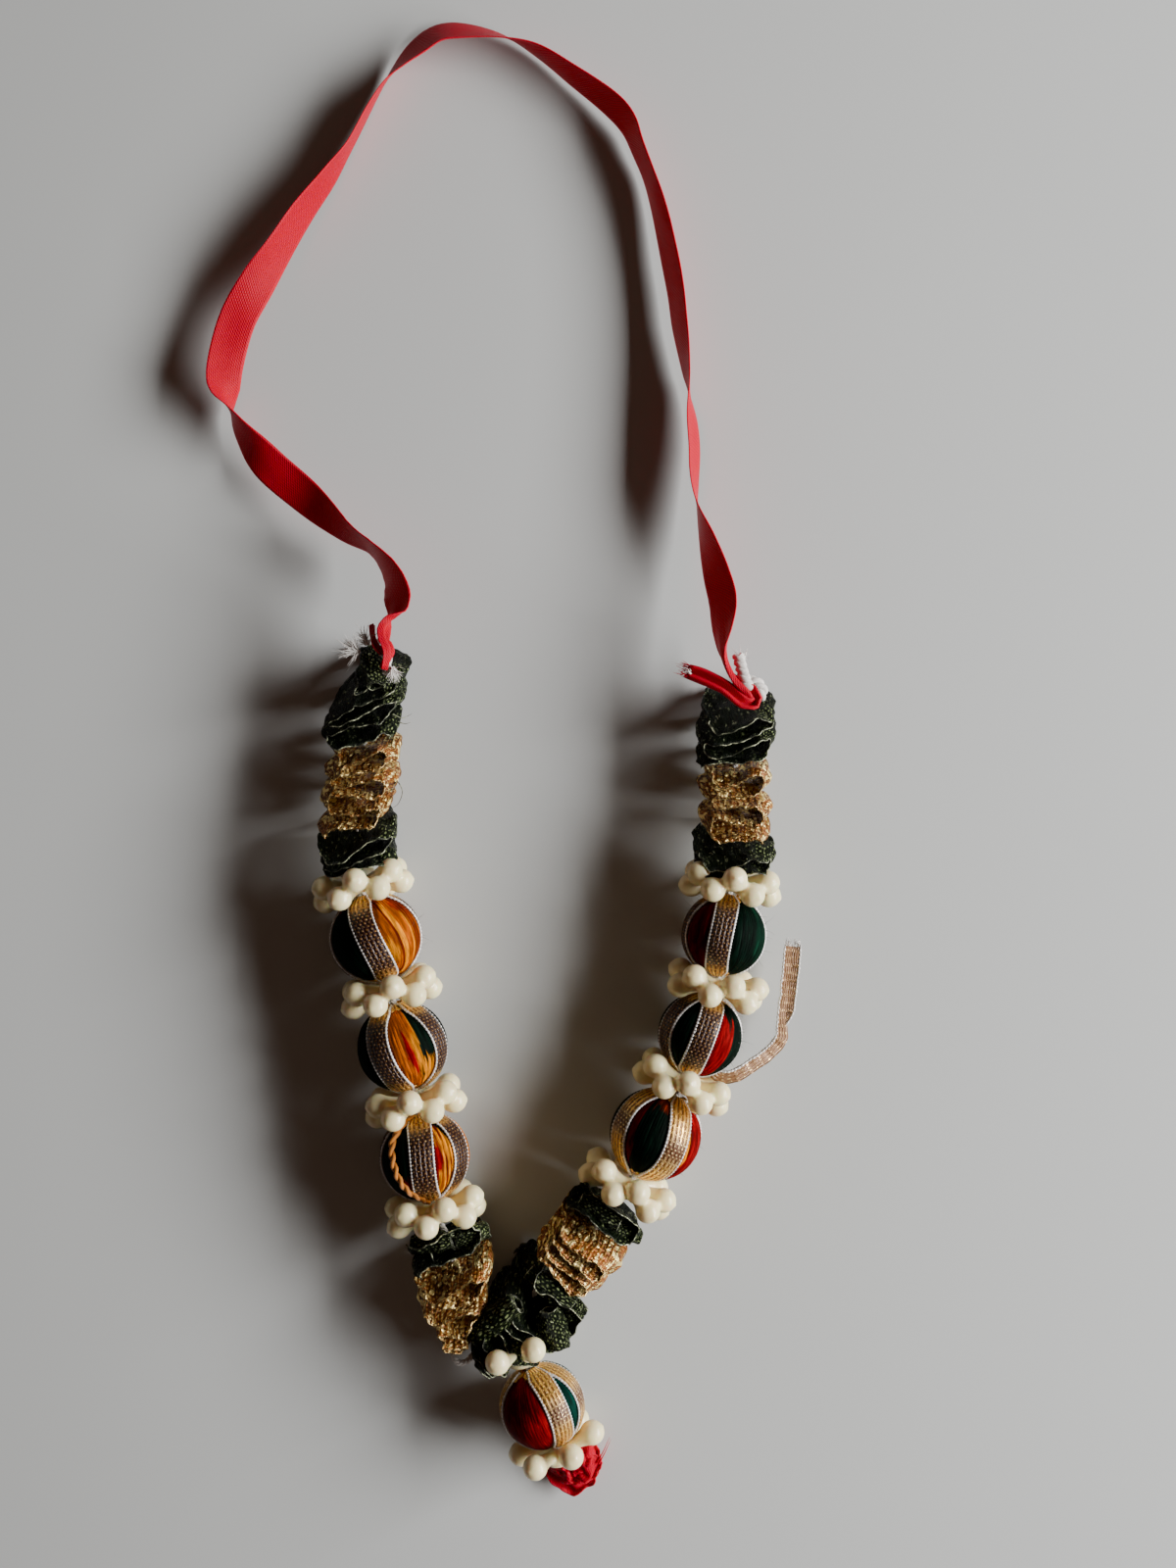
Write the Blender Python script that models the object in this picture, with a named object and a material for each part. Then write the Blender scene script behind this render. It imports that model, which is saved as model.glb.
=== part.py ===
"""Bead and ribbon garland, lying flat: two strands of satin frills, wool balls and moulded spacers
on one cotton cord, a pendant ball at the bottom and a ribbon loop at the top.

Frame: X to the right, Y up along the strands, Z up from the surface it lies on.
Positions are plan millimetres, measured from a point near the middle of the whole garland.
"""

import math
import random

import bmesh
import bpy
from mathutils import Matrix, Vector

MM = 0.001
# Middle of the garland without its free ribbon, which becomes the origin.
CENTRE = Vector((-5.275, -48.054, 0.0))
UP = Vector((0.0, 0.0, 1.0))

GAP = 0.3
CORD_RADIUS = 0.5
HOLE_RADIUS = 1.3

# Height of the cord in the bead rows.
BEAD_HEIGHT = 8.2

# Moulded spacer: two staggered rows of arms on a hub, each arm ending in a round bead.
ARMS_PER_ROW = 6
ROW_OFFSET = 1.15
ARM_LEAN = 6.2
TIP_RADIUS = 1.85
TIP_REACH = 8.55
TIP_START = 6.5
TIP_END_RADIUS = 1.3
TIP_ROUNDING = 0.5
STALK_RADIUS = 0.8
STALK_START = 1.7
HUB_RADIUS = 2.9
HUB_BORE = 1.2
HUB_THICKNESS = 2.2
HUB_CHAMFER = 0.5
HUB_SIDES = 10
ARM_SIDES = 5

# Wool ball: a core bead, wool in sectors of one colour, and gold strips from pole to pole.
BALL_RADIUS = 7.3
CORE_RADIUS = 4.7
CORE_HALF_LENGTH = 4.4
CORE_STEPS = (152, 120, 90, 60, 28)
CORE_SIDES = 8
WOOL_INNER = 5.6
WOOL_UNDER_STRIP = 6.3
STRIP_HALF_WIDTH = 2.0
STRIP_INNER = 7.0
STRIP_OUTER = 7.6
STRIP_END_ANGLE = 18.0
# Ring at each pole, as (radius, distance from the middle of the ball).
POLE_RING_PROFILE = ((1.3, 6.45), (3.0, 6.0), (3.15, 6.7), (1.3, 7.25))
POLE_RING_SIDES = 6
WOOL_END = 5.3
NARROWEST_PANEL = 5.0

# Frill: a satin or lurex ribbon pleated to and fro across the cord that pierces it.
FRILL_THICKNESS = 0.6
FRILL_HALF_WIDTH = 5.6
FRILL_LOBE_DROP = 1.3
FRILL_BULGE = 0.85
FRILL_END = 0.5
# Steps from one crossing of the cord round the turn to the next, in degrees before or after the turn.
PLEAT_STEPS = (-90.0, -55.0, -32.0, 0.0, 32.0, 55.0)

RIBBON_THICKNESS = 0.6
RIBBON_WIDTH = 6.0

# Bead rows from the top of each strand down: plan position and turn of the spacer about the cord.
LEFT_SPACERS = (((-37.1, -16.5), 0.0), ((-32.4, -33.9), 12.0), ((-28.4, -52.1), 0.0), ((-25.0, -69.7), 20.0))
RIGHT_SPACERS = (((23.4, -16.3), 0.0), ((21.1, -33.1), 18.0), ((15.6, -48.9), 0.0), ((6.5, -65.8), 10.0))

# Balls between those spacers: radius, strip angles from straight up, and the two wool colours with
# the strips that each runs between.
LEFT_BALLS = (
    (7.3, (0, 95, 180, 270), (("green", 180, 360), ("orange", 0, 180))),
    (7.3, (66, 157, 247, 337), (("green", 66, 337), ("orange", -23, 66))),
    (7.2, (2, 63, 150, 270), (("green", 150, 362), ("orange", 2, 150))),
)
RIGHT_BALLS = (
    (6.75, (100, 190, 277, 351), (("red", 190, 351), ("green", -9, 190))),
    (6.75, (0, 90, 180, 298), (("green", 90, 360), ("red", 0, 90))),
    (7.4, (25, 115, 210, 300), (("green", 210, 385), ("red", 25, 210))),
)
PENDANT_BALL = (6.8, (26, 76, 180, 275), (("red", 180, 386), ("teal", 26, 180)))

# Pendant: direction in plan, and its spacers with arm angles, height and droop towards the surface.
PENDANT_DIRECTION = Vector((0.355, -0.935, 0.0))
PENDANT_TOP = Vector((-10.45, -94.1, 8.2))
PENDANT_TOP_ARMS = (-41, 19, 79, 139, 199)
PENDANT_TOP_DROOP = 6.0
PENDANT_BALL_SHARE = 0.485
PENDANT_FOOT = Vector((-4.4, -110.2, 7.5))
PENDANT_FOOT_ARMS = (-98, -38, 22, 82, 142, 202)
PENDANT_FOOT_DROOP = 20.0

# Frills: name, colour, top and bottom of the axis (x, y, z), pleats, slant of the pleats at the top,
# middle and bottom, and the reach to the left and right at fractions of the way down.
FRILLS = (
    ("frill_left_1_green", "green", (-35.9, 20.6, 6.3), (-36.8, 8.7, 6.6), 5, (-0.2, -0.45, -0.3),
     ((0.0, 4.6), (0.3, 6.5), (1.0, 6.4)), ((0.0, 3.6), (0.3, 6.4), (1.0, 5.6))),
    ("frill_left_2_gold", "gold", (-36.8, 8.4, 6.6), (-37.7, -5.9, 7.4), 6, (-0.3, -0.05, -0.35),
     ((0.0, 5.0), (0.5, 6.3), (1.0, 6.3)), ((0.0, 5.4), (0.5, 6.4), (1.0, 5.0))),
    ("frill_left_3_green", "green", (-37.7, -6.2, 7.4), (-37.4, -12.6, 8.1), 3, (-0.35, -0.2, 0.0),
     ((0.0, 6.6), (1.0, 6.6)), ((0.0, 6.2), (1.0, 6.4))),
    ("frill_left_4_green", "green", (-23.6, -73.2, 8.2), (-22.3, -76.3, 7.9), 2, (0.0, -0.05, -0.1),
     ((0.0, 6.8), (1.0, 6.8)), ((0.0, 6.8), (1.0, 6.8))),
    ("frill_left_5_gold", "gold", (-22.1, -76.8, 7.8), (-22.3, -92.4, 6.6), 6, (-0.42, -0.15, 0.0),
     ((0.0, 6.2), (0.5, 4.6), (1.0, 2.9)), ((0.0, 6.6), (0.35, 6.0), (0.6, 4.2), (0.8, 2.8), (1.0, 2.3))),
    ("frill_centre_green", "green", (-6.0, -81.1, 6.6), (-18.2, -93.3, 6.4), 7, (0.0, 0.15, 0.0),
     ((0.0, 5.6), (0.6, 4.8), (0.85, 2.9), (1.0, 2.4)),
     ((0.0, 6.8), (0.25, 6.7), (0.5, 4.5), (0.65, 3.6), (0.85, 2.4), (1.0, 2.3))),
    ("frill_right_5_gold", "gold", (2.2, -71.8, 7.8), (-3.7, -78.7, 6.9), 4, (0.0, 0.1, 0.0),
     ((0.0, 6.6), (1.0, 6.8)), ((0.0, 6.4), (1.0, 7.4))),
    ("frill_right_4_green", "green", (4.4, -68.7, 8.2), (2.5, -71.4, 7.9), 2, (0.0, 0.0, 0.0),
     ((0.0, 6.7), (1.0, 6.7)), ((0.0, 6.7), (1.0, 6.7))),
    ("frill_right_3_green", "green", (23.9, -8.3, 7.6), (23.6, -13.0, 8.1), 2, (-0.1, -0.1, 0.0),
     ((0.0, 6.6), (1.0, 6.6)), ((0.0, 6.6), (1.0, 6.6))),
    ("frill_right_2_gold", "gold", (24.3, 4.8, 6.7), (23.9, -8.0, 7.5), 5, (-0.2, 0.1, -0.1),
     ((0.0, 5.2), (0.4, 6.2), (1.0, 6.0)), ((0.0, 5.6), (0.5, 6.0), (1.0, 6.0))),
    ("frill_right_1_green", "green", (24.6, 14.6, 6.3), (24.3, 5.1, 6.6), 4, (-0.1, -0.3, -0.2),
     ((0.0, 5.4), (0.4, 6.5), (1.0, 6.3)), ((0.0, 5.4), (0.4, 6.8), (1.0, 6.6))),
)

# White cotton cord through everything, from its left end to its right end.
STRAND_CORD_ROUTE = (
    (-32.7, 17.6, 13.2),
    (-31.9, 20.4, 13.4),
    (-32.6, 22.6, 12.0),
    (-34.4, 23.2, 9.0),
    (-35.8, 21.8, 6.8),
    (-36.0, 19.0, 6.35),
    (-36.8, 8.5, 6.6),
    (-37.7, -6.0, 7.4),
    (-37.4, -13.0, 8.05),
    (-37.1, -16.5, 8.2),
    (-32.4, -33.9, 8.2),
    (-28.4, -52.1, 8.2),
    (-25.0, -69.7, 8.2),
    (-23.7, -72.9, 8.05),
    (-22.2, -76.5, 7.85),
    (-22.25, -84.0, 7.2),
    (-22.3, -92.8, 6.6),
    (-21.6, -95.3, 6.5),
    (-19.9, -95.2, 6.4),
    (-18.2, -93.3, 6.4),
    (-12.1, -87.2, 6.5),
    (-6.0, -81.1, 6.6),
    (-3.7, -78.7, 6.9),
    (2.3, -71.6, 7.85),
    (4.6, -68.4, 8.05),
    (6.5, -65.8, 8.2),
    (15.6, -48.9, 8.2),
    (21.1, -33.1, 8.2),
    (23.4, -16.3, 8.2),
    (23.6, -13.0, 8.05),
    (23.9, -8.1, 7.55),
    (24.3, 4.9, 6.65),
    (24.6, 14.0, 6.35),
    (24.9, 17.0, 6.6),
    (25.3, 20.4, 7.4),
)

# Loop ribbon from its tucked left end round to its cut right end: x, y, z, tilt and share of its full
# width. At tilt 0 it lies flat, and a positive tilt lifts its outer edge. Minus 180 is flat, other face up.
LOOP_RIBBON_ROUTE = (
    (-33.9, 18.4, 15.2, -60.0, 0.27),
    (-33.0, 21.2, 15.6, -60.0, 0.33),
    (-34.0, 23.6, 14.6, -75.0, 0.33),
    (-33.6, 25.6, 13.2, -75.0, 0.4),
    (-31.9, 27.9, 12.0, -60.0, 0.73),
    (-31.3, 30.8, 10.8, -48.0, 1.0),
    (-32.4, 34.6, 9.4, -62.0, 1.0),
    (-35.8, 38.9, 8.0, -80.0, 1.0),
    (-40.5, 42.1, 6.6, -66.0, 1.0),
    (-47.0, 47.8, 5.2, -30.0, 1.0),
    (-52.8, 52.8, 4.7, -18.0, 1.0),
    (-57.0, 57.8, 4.6, -46.0, 1.0),
    (-59.4, 62.0, 4.6, -80.0, 1.0),
    (-60.5, 66.4, 4.6, -124.0, 1.0),
    (-60.0, 71.0, 4.6, -153.0, 1.0),
    (-58.2, 77.3, 4.5, -176.0, 1.0),
    (-55.1, 83.0, 4.4, -163.0, 1.0),
    (-51.5, 88.8, 4.3, -145.0, 1.0),
    (-47.3, 95.4, 4.1, -131.0, 1.0),
    (-43.2, 101.1, 3.9, -121.0, 1.0),
    (-40.0, 106.0, 3.7, -113.0, 1.0),
    (-36.7, 112.2, 3.5, -104.0, 1.0),
    (-34.2, 116.6, 3.4, -101.0, 1.0),
    (-31.8, 119.6, 3.4, -104.0, 1.0),
    (-28.5, 122.8, 3.5, -112.0, 1.0),
    (-24.9, 125.2, 3.6, -122.0, 1.0),
    (-20.4, 125.5, 3.7, -120.0, 1.0),
    (-14.7, 124.7, 3.6, -106.0, 1.0),
    (-8.3, 122.1, 3.6, -108.0, 1.0),
    (-2.3, 117.9, 3.7, -121.0, 1.0),
    (3.8, 113.3, 3.9, -130.0, 1.0),
    (6.7, 110.0, 3.9, -123.0, 1.0),
    (8.3, 106.1, 3.9, -119.0, 1.0),
    (10.3, 100.9, 3.8, -112.0, 1.0),
    (12.6, 92.5, 3.9, -119.0, 1.0),
    (14.5, 82.9, 4.1, -121.0, 1.0),
    (15.3, 76.2, 4.2, -118.0, 1.0),
    (16.3, 69.3, 4.3, -103.0, 1.0),
    (16.8, 66.2, 4.3, -90.0, 1.0),
    (17.3, 61.2, 4.5, -76.0, 1.0),
    (17.6, 56.2, 4.7, -73.0, 1.0),
    (17.6, 51.2, 5.0, -77.0, 1.0),
    (18.1, 46.1, 5.5, -88.0, 1.0),
    (19.6, 40.1, 6.4, -113.0, 1.0),
    (21.1, 34.4, 7.4, -132.0, 1.0),
    (22.1, 29.9, 8.4, -134.0, 1.0),
    (22.0, 25.0, 9.8, -117.0, 0.9),
    (22.0, 20.6, 11.4, -98.0, 0.67),
    (23.6, 16.9, 12.8, -75.0, 0.43),
    (26.2, 14.9, 13.0, -30.0, 0.4),
    (26.9, 13.2, 12.9, 10.0, 0.37),
    (25.0, 13.2, 13.3, 15.0, 0.4),
    (22.0, 15.6, 13.2, 15.0, 0.4),
    (18.4, 17.4, 12.4, 10.0, 0.43),
    (16.2, 18.2, 11.8, 0.0, 0.37),
)

# Folded ribbon tied in below the pendant, in the same way.
KNOT_RIBBON_ROUTE = (
    (-3.2, -112.4, 5.2, 15.0, 0.57),
    (-1.4, -112.6, 5.3, 10.0, 0.73),
    (0.4, -113.6, 5.0, 5.0, 0.77),
    (1.2, -115.4, 4.3, 0.0, 0.77),
    (0.2, -117.2, 3.4, -5.0, 0.73),
    (-1.8, -117.6, 2.5, -5.0, 0.73),
    (-3.6, -116.6, 1.8, 0.0, 0.73),
    (-4.4, -114.9, 1.4, 5.0, 0.7),
    (-3.4, -113.4, 1.2, 5.0, 0.63),
)

# Loose end of a gold strip on the second right ball: x, y, z, as a thin folded band.
LOOSE_STRIP_ROUTE = (
    (20.55, -47.0, 8.2),
    (21.7, -48.0, 8.2),
    (24.0, -47.9, 8.0),
    (27.0, -46.4, 7.0),
    (30.4, -44.2, 5.6),
    (32.2, -41.8, 4.8),
    (33.0, -37.0, 4.3),
    (33.6, -32.0, 4.2),
    (34.0, -27.0, 4.4),
)
LOOSE_STRIP_WIDTH = 1.8
LOOSE_STRIP_TILT = 84.0

COLOURS = {
    "satin_green": ((0.012, 0.030, 0.010), 0.35, 0.0),
    "lurex_gold": ((0.32, 0.17, 0.05), 0.35, 0.6),
    "ivory_plastic": ((0.80, 0.68, 0.50), 0.35, 0.0),
    "wool_green": ((0.0, 0.030, 0.016), 0.9, 0.0),
    "wool_orange": ((0.85, 0.28, 0.01), 0.9, 0.0),
    "wool_red": ((0.38, 0.0, 0.01), 0.9, 0.0),
    "wool_teal": ((0.0, 0.07, 0.05), 0.9, 0.0),
    "strip_gold": ((0.25, 0.12, 0.06), 0.4, 0.5),
    "core_bead": ((0.75, 0.66, 0.50), 0.6, 0.0),
    "cotton_white": ((0.80, 0.78, 0.75), 0.9, 0.0),
    "satin_red": ((0.62, 0.01, 0.03), 0.45, 0.0),
}


def clear_scene():
    for obj in list(bpy.data.objects):
        bpy.data.objects.remove(obj, do_unlink=True)


def make_material(name):
    colour, roughness, metallic = COLOURS[name]
    material = bpy.data.materials.new(name)
    material.use_nodes = True
    shader = material.node_tree.nodes["Principled BSDF"]
    shader.inputs["Base Color"].default_value = (*colour, 1.0)
    shader.inputs["Roughness"].default_value = roughness
    shader.inputs["Metallic"].default_value = metallic
    return material


def place(point):
    """A plan point in millimetres, as a point in metres from the origin."""
    return (Vector(point) - CENTRE) * MM


def new_object(name, bm, material=None):
    """Makes an object of a mesh given in plan millimetres."""
    for vert in bm.verts:
        vert.co = place(vert.co)
    bmesh.ops.recalc_face_normals(bm, faces=bm.faces[:])
    if bm.calc_volume(signed=True) < 0.0:
        bmesh.ops.reverse_faces(bm, faces=bm.faces[:])
    mesh = bpy.data.meshes.new(name)
    bm.to_mesh(mesh)
    bm.free()
    if material is not None:
        mesh.materials.append(material)
    obj = bpy.data.objects.new(name, mesh)
    bpy.context.scene.collection.objects.link(obj)
    return obj


def apply_modifiers(obj):
    """Keeps the evaluated mesh of an object and drops its modifiers."""
    graph = bpy.context.evaluated_depsgraph_get()
    mesh = bpy.data.meshes.new_from_object(obj.evaluated_get(graph))
    obj.modifiers.clear()
    obj.data = mesh


def join_solids(name, pieces, material, solver="EXACT"):
    """Fuses overlapping solids into one with a single Boolean union on a collection."""
    body, others = pieces[0], pieces[1:]
    group = bpy.data.collections.new(name + "_pieces")
    bpy.context.scene.collection.children.link(group)
    for other in others:
        bpy.context.scene.collection.objects.unlink(other)
        group.objects.link(other)
    union = body.modifiers.new("union", "BOOLEAN")
    union.operation = "UNION"
    union.operand_type = "COLLECTION"
    union.collection = group
    union.solver = solver
    bpy.context.view_layer.update()
    apply_modifiers(body)
    for other in others:
        bpy.data.objects.remove(other, do_unlink=True)
    bpy.data.collections.remove(group)
    body.name = name
    body.data.name = name
    body.data.materials.clear()
    body.data.materials.append(material)
    return body


def cut_away(body, cutter):
    """Cuts one solid out of another and removes the cutter."""
    cutter.hide_render = True
    cutter.display_type = "WIRE"
    cut = body.modifiers.new("cut", "BOOLEAN")
    cut.operation = "DIFFERENCE"
    cut.object = cutter
    cut.solver = "EXACT"
    bpy.context.view_layer.update()
    apply_modifiers(body)
    bpy.data.objects.remove(cutter, do_unlink=True)


def shade_smooth(obj, angle=40.0):
    obj.data.shade_smooth()
    obj.data.set_sharp_from_angle(angle=math.radians(angle))


def frame_along(start, direction):
    """Local axes at a point of the cord: X to the side, Y along the cord, Z up."""
    along = Vector(direction).normalized()
    side = along.cross(UP).normalized() * -1.0
    upward = along.cross(side).normalized()
    axes = Matrix((side, along, upward)).transposed().to_4x4()
    return Matrix.Translation(Vector(start)) @ axes


def rod(start, end, radius, sides=8):
    """A straight round bar between two points, as a mesh in plan millimetres."""
    start, end = Vector(start), Vector(end)
    bm = bmesh.new()
    turn = UP.rotation_difference(end - start).to_matrix().to_4x4()
    bmesh.ops.create_cone(
        bm, cap_ends=True, segments=sides, radius1=radius, radius2=radius,
        depth=(end - start).length, matrix=Matrix.Translation((start + end) / 2) @ turn,
    )
    return bm


def turned_solid(profile, sides, closed=True):
    """Spins a profile of (radius, height) points about Z. The ends of an open profile lie on the axis."""
    bm = bmesh.new()
    verts = [bm.verts.new((radius, 0.0, height)) for radius, height in profile]
    edges = [bm.edges.new(pair) for pair in zip(verts, verts[1:])]
    if closed:
        edges.append(bm.edges.new((verts[-1], verts[0])))
    bmesh.ops.spin(
        bm, geom=verts + edges, cent=(0, 0, 0), axis=(0, 0, 1), angle=2 * math.pi,
        steps=sides, use_merge=True, use_duplicate=False,
    )
    bmesh.ops.remove_doubles(bm, verts=bm.verts[:], dist=1e-5)
    return bm


def interpolate(stops, position):
    """Reads a value at a position between the (position, value) stops."""
    for (low, first), (high, second) in zip(stops, stops[1:]):
        if position <= high:
            share = max(0.0, (position - low) / (high - low))
            return first + (second - first) * share
    return stops[-1][1]


def smooth_route(points, step):
    """Samples a smooth curve through the points about every step. Every column is carried along."""
    points = [Vector(point) for point in points]
    padded = [points[0] * 2 - points[1], *points, points[-1] * 2 - points[-2]]
    route = []
    for before, start, end, after in zip(padded, padded[1:], padded[2:], padded[3:]):
        count = max(1, round((Vector(end[:3]) - Vector(start[:3])).length / step))
        for index in range(count):
            t = index / count
            route.append(
                0.5 * (2 * start + (end - before) * t
                       + (2 * before - 5 * start + 4 * end - after) * t ** 2
                       + (3 * start - before - 3 * end + after) * t ** 3)
            )
    route.append(points[-1])
    return route


def grid_solid(bm, rings):
    """Closes a run of rings, each a list of points, into one solid with flat ends."""
    rows = [[bm.verts.new(point) for point in ring] for ring in rings]
    for row, following in zip(rows, rows[1:]):
        count = len(row)
        for index in range(count):
            after = (index + 1) % count
            bm.faces.new((row[index], row[after], following[after], following[index]))
    bm.faces.new(rows[0][::-1])
    bm.faces.new(rows[-1])
    return bm


def pleat_line(pleats, pitch, bulge, left, right, rng):
    """Centre line of the pleats as (side, along) points with their unit normals."""
    reach = [rng.uniform(0.94, 1.04) for _ in range(pleats + 1)]
    turns = range(pleats + 1)
    length = pleats * pitch + 2 * FRILL_END
    points = []
    for turn in turns:
        for step in PLEAT_STEPS:
            if (turn == 0 and step < 0) or (turn == pleats and step > 0):
                continue
            angle = math.radians(step)
            along = FRILL_END + pitch * (turn + step / 180.0) + bulge * math.sin(2 * angle)
            sign = -1.0 if turn % 2 == 0 else 1.0
            stops = left if sign < 0 else right
            size = interpolate(stops, along / length) * reach[turn]
            side = sign * size * math.cos(angle) ** 0.75
            points.append(Vector((side, along)))
    return points


def frill(name, material, start, end, pleats, slant, left, right, holes, seed):
    """One pleated ribbon on the cord. Each pleat is pierced by the cord."""
    rng = random.Random(seed)
    start, end = Vector(start), Vector(end)
    length = (end - start).length
    pitch = (length - 2 * FRILL_END) / pleats
    bulge = min(FRILL_BULGE, 0.9 * (1.5 * pitch - 1.0) / 2)
    line = pleat_line(pleats, pitch, bulge, left, right, rng)
    slants = ((0.0, slant[0]), (0.5, slant[1]), (1.0, slant[2]))
    axes = frame_along(start, end - start)
    rings = []
    for index, point in enumerate(line):
        before = line[max(0, index - 1)]
        after = line[min(len(line) - 1, index + 1)]
        tangent = (after - before).normalized()
        normal = Vector((-tangent.y, tangent.x)) * FRILL_THICKNESS / 2
        half = FRILL_HALF_WIDTH - FRILL_LOBE_DROP * (point.x / 6.5) ** 2
        ring = []
        for offset, height in ((1, -half), (1, half), (-1, half), (-1, -half)):
            spot = point + normal * offset
            along = spot.y + interpolate(slants, spot.y / length) * spot.x
            ring.append(axes @ Vector((spot.x, along, height)))
        rings.append(ring)
    bm = bmesh.new()
    grid_solid(bm, rings)
    obj = new_object(name, bm, material)
    for hole_start, hole_end in holes:
        cut_away(obj, new_object("hole", rod(hole_start, hole_end, HOLE_RADIUS)))
    return obj


def spacer_arm():
    """One arm of a spacer, standing along Z from the hub: a waisted stalk with a round bead on it."""
    profile = (
        (0.0, STALK_START), (STALK_RADIUS, STALK_START), (TIP_RADIUS, TIP_START),
        (TIP_END_RADIUS, TIP_REACH - TIP_ROUNDING), (0.0, TIP_REACH),
    )
    return turned_solid(profile, ARM_SIDES, closed=False)


def spacer(name, material, centre, direction, arms):
    """A moulded spacer: a drilled hub with arms given as (angle, offset along the cord)."""
    axes = frame_along(centre, direction)
    half = HUB_THICKNESS / 2
    rim = HUB_RADIUS - HUB_CHAMFER
    profile = ((HUB_BORE, -half), (rim, -half), (HUB_RADIUS, 0.0), (rim, half), (HUB_BORE, half))
    hub = turned_solid(profile, HUB_SIDES)
    hub.transform(axes @ Matrix.Rotation(math.radians(90.0), 4, "X"))
    pieces = [new_object("hub", hub)]
    for angle, offset in arms:
        arm = spacer_arm()
        lean = Matrix.Rotation(-math.radians(offset * ARM_LEAN), 4, "X")
        arm.transform(
            axes @ Matrix.Translation((0.0, offset * 0.25, 0.0))
            @ Matrix.Rotation(math.radians(angle), 4, "Y") @ lean
        )
        pieces.append(new_object("arm", arm))
    body = join_solids(name, pieces, material)
    # The lowest beads are worn to small flats where the garland lies.
    lowest = min((body.matrix_world @ vert.co).z for vert in body.data.vertices)
    if lowest < 0.0:
        floor = bmesh.new()
        bmesh.ops.create_cube(floor, size=30.0)
        floor.transform(Matrix.Translation(Vector(centre) * Vector((1, 1, 0)) + Vector((0, 0, -15.0))))
        cut_away(body, new_object("floor", floor))
    shade_smooth(body)
    return body


def strand_spacer_arms(turn):
    """Two staggered rows of arms."""
    step = 360.0 / ARMS_PER_ROW
    arms = []
    for index in range(ARMS_PER_ROW):
        arms.append((turn + index * step, -ROW_OFFSET))
        arms.append((turn + (index + 0.5) * step, ROW_OFFSET))
    return arms


def ball_point(radius, polar, azimuth):
    """A point of a ball whose poles are on local Y, with azimuth 0 straight up and 90 to the right."""
    polar, azimuth = math.radians(polar), math.radians(azimuth)
    ring = radius * math.sin(polar)
    return Vector((ring * math.sin(azimuth), -radius * math.cos(polar), ring * math.cos(azimuth)))


def panel_columns(first, second, polar):
    """Wool between two strips at one polar angle, as (azimuth, radius): pressed in beside each strip."""
    ring = WOOL_UNDER_STRIP * math.sin(math.radians(polar))
    clear = math.degrees(math.asin(min(0.99, (STRIP_HALF_WIDTH + GAP) / ring)))
    middle = (first + second) / 2
    width = max(second - first - 2 * clear, NARROWEST_PANEL)
    start, end = middle - width / 2, middle + width / 2
    rise = (BALL_RADIUS - WOOL_UNDER_STRIP) * min(1.0, (width - NARROWEST_PANEL) / 30.0)
    return (
        (start, WOOL_UNDER_STRIP),
        (start + width * 0.2, WOOL_UNDER_STRIP + rise * 0.75),
        (middle, WOOL_UNDER_STRIP + rise),
        (end - width * 0.2, WOOL_UNDER_STRIP + rise * 0.75),
        (end, WOOL_UNDER_STRIP),
    )


def wool_sector(name, material, axes, scale, strips, low, high):
    """Wool of one colour between two strips: it bulges between strips and is pressed in under them."""
    inside = sorted(strip % 360 + turn for strip in strips for turn in (-360, 0, 360))
    edges = [low, *[strip for strip in inside if low + 1 < strip < high - 1], high]
    inner_count = max(2, math.ceil((high - low) / 45.0))
    inner = [high - 2.0 + (low - high + 4.0) * index / inner_count for index in range(inner_count + 1)]
    rings = []
    for row in (-1.0, 60.0, 90.0, 120.0, 181.0):
        columns = [(low + 2.0, WOOL_UNDER_STRIP)]
        for first, second in zip(edges, edges[1:]):
            columns.extend(panel_columns(first, second, min(145.0, max(35.0, row))))
        columns.append((high - 2.0, WOOL_UNDER_STRIP))
        columns.extend((azimuth, WOOL_INNER) for azimuth in inner)
        ring = []
        for azimuth, radius in columns:
            end_angle = math.degrees(math.acos(WOOL_END / radius))
            polar = min(180.0 - end_angle, max(end_angle, row))
            ring.append(axes @ (ball_point(radius, polar, azimuth) * scale))
        rings.append(ring)
    bm = bmesh.new()
    grid_solid(bm, rings)
    obj = new_object(name, bm, material)
    shade_smooth(obj, 60.0)
    return obj


def strip_band(axes, scale, azimuth):
    """One gold strip along a meridian of the ball."""
    rings = []
    bands = 5
    for index in range(bands + 1):
        polar = STRIP_END_ANGLE + (180.0 - 2 * STRIP_END_ANGLE) * index / bands
        around = ball_point(1.0, polar, azimuth)
        side = Vector((math.cos(math.radians(azimuth)), 0.0, -math.sin(math.radians(azimuth))))
        narrow = STRIP_HALF_WIDTH * (0.55 if index in (0, bands) else 1.0)
        ring = []
        for radius, sign in ((STRIP_INNER, -1), (STRIP_INNER, 1), (STRIP_OUTER, 1), (STRIP_OUTER, -1)):
            spread = narrow * sign
            level = math.sqrt(radius ** 2 - spread ** 2)
            ring.append(axes @ ((around * level + side * spread) * scale))
        rings.append(ring)
    bm = bmesh.new()
    return grid_solid(bm, rings)


def pole_ring(axes, scale, sign):
    """The ring at a pole where the strips run together round the cord."""
    bm = turned_solid(POLE_RING_PROFILE, POLE_RING_SIDES)
    bm.transform(axes @ Matrix.Rotation(math.radians(90.0 * sign), 4, "X") @ Matrix.Scale(scale, 4))
    return bm


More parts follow.
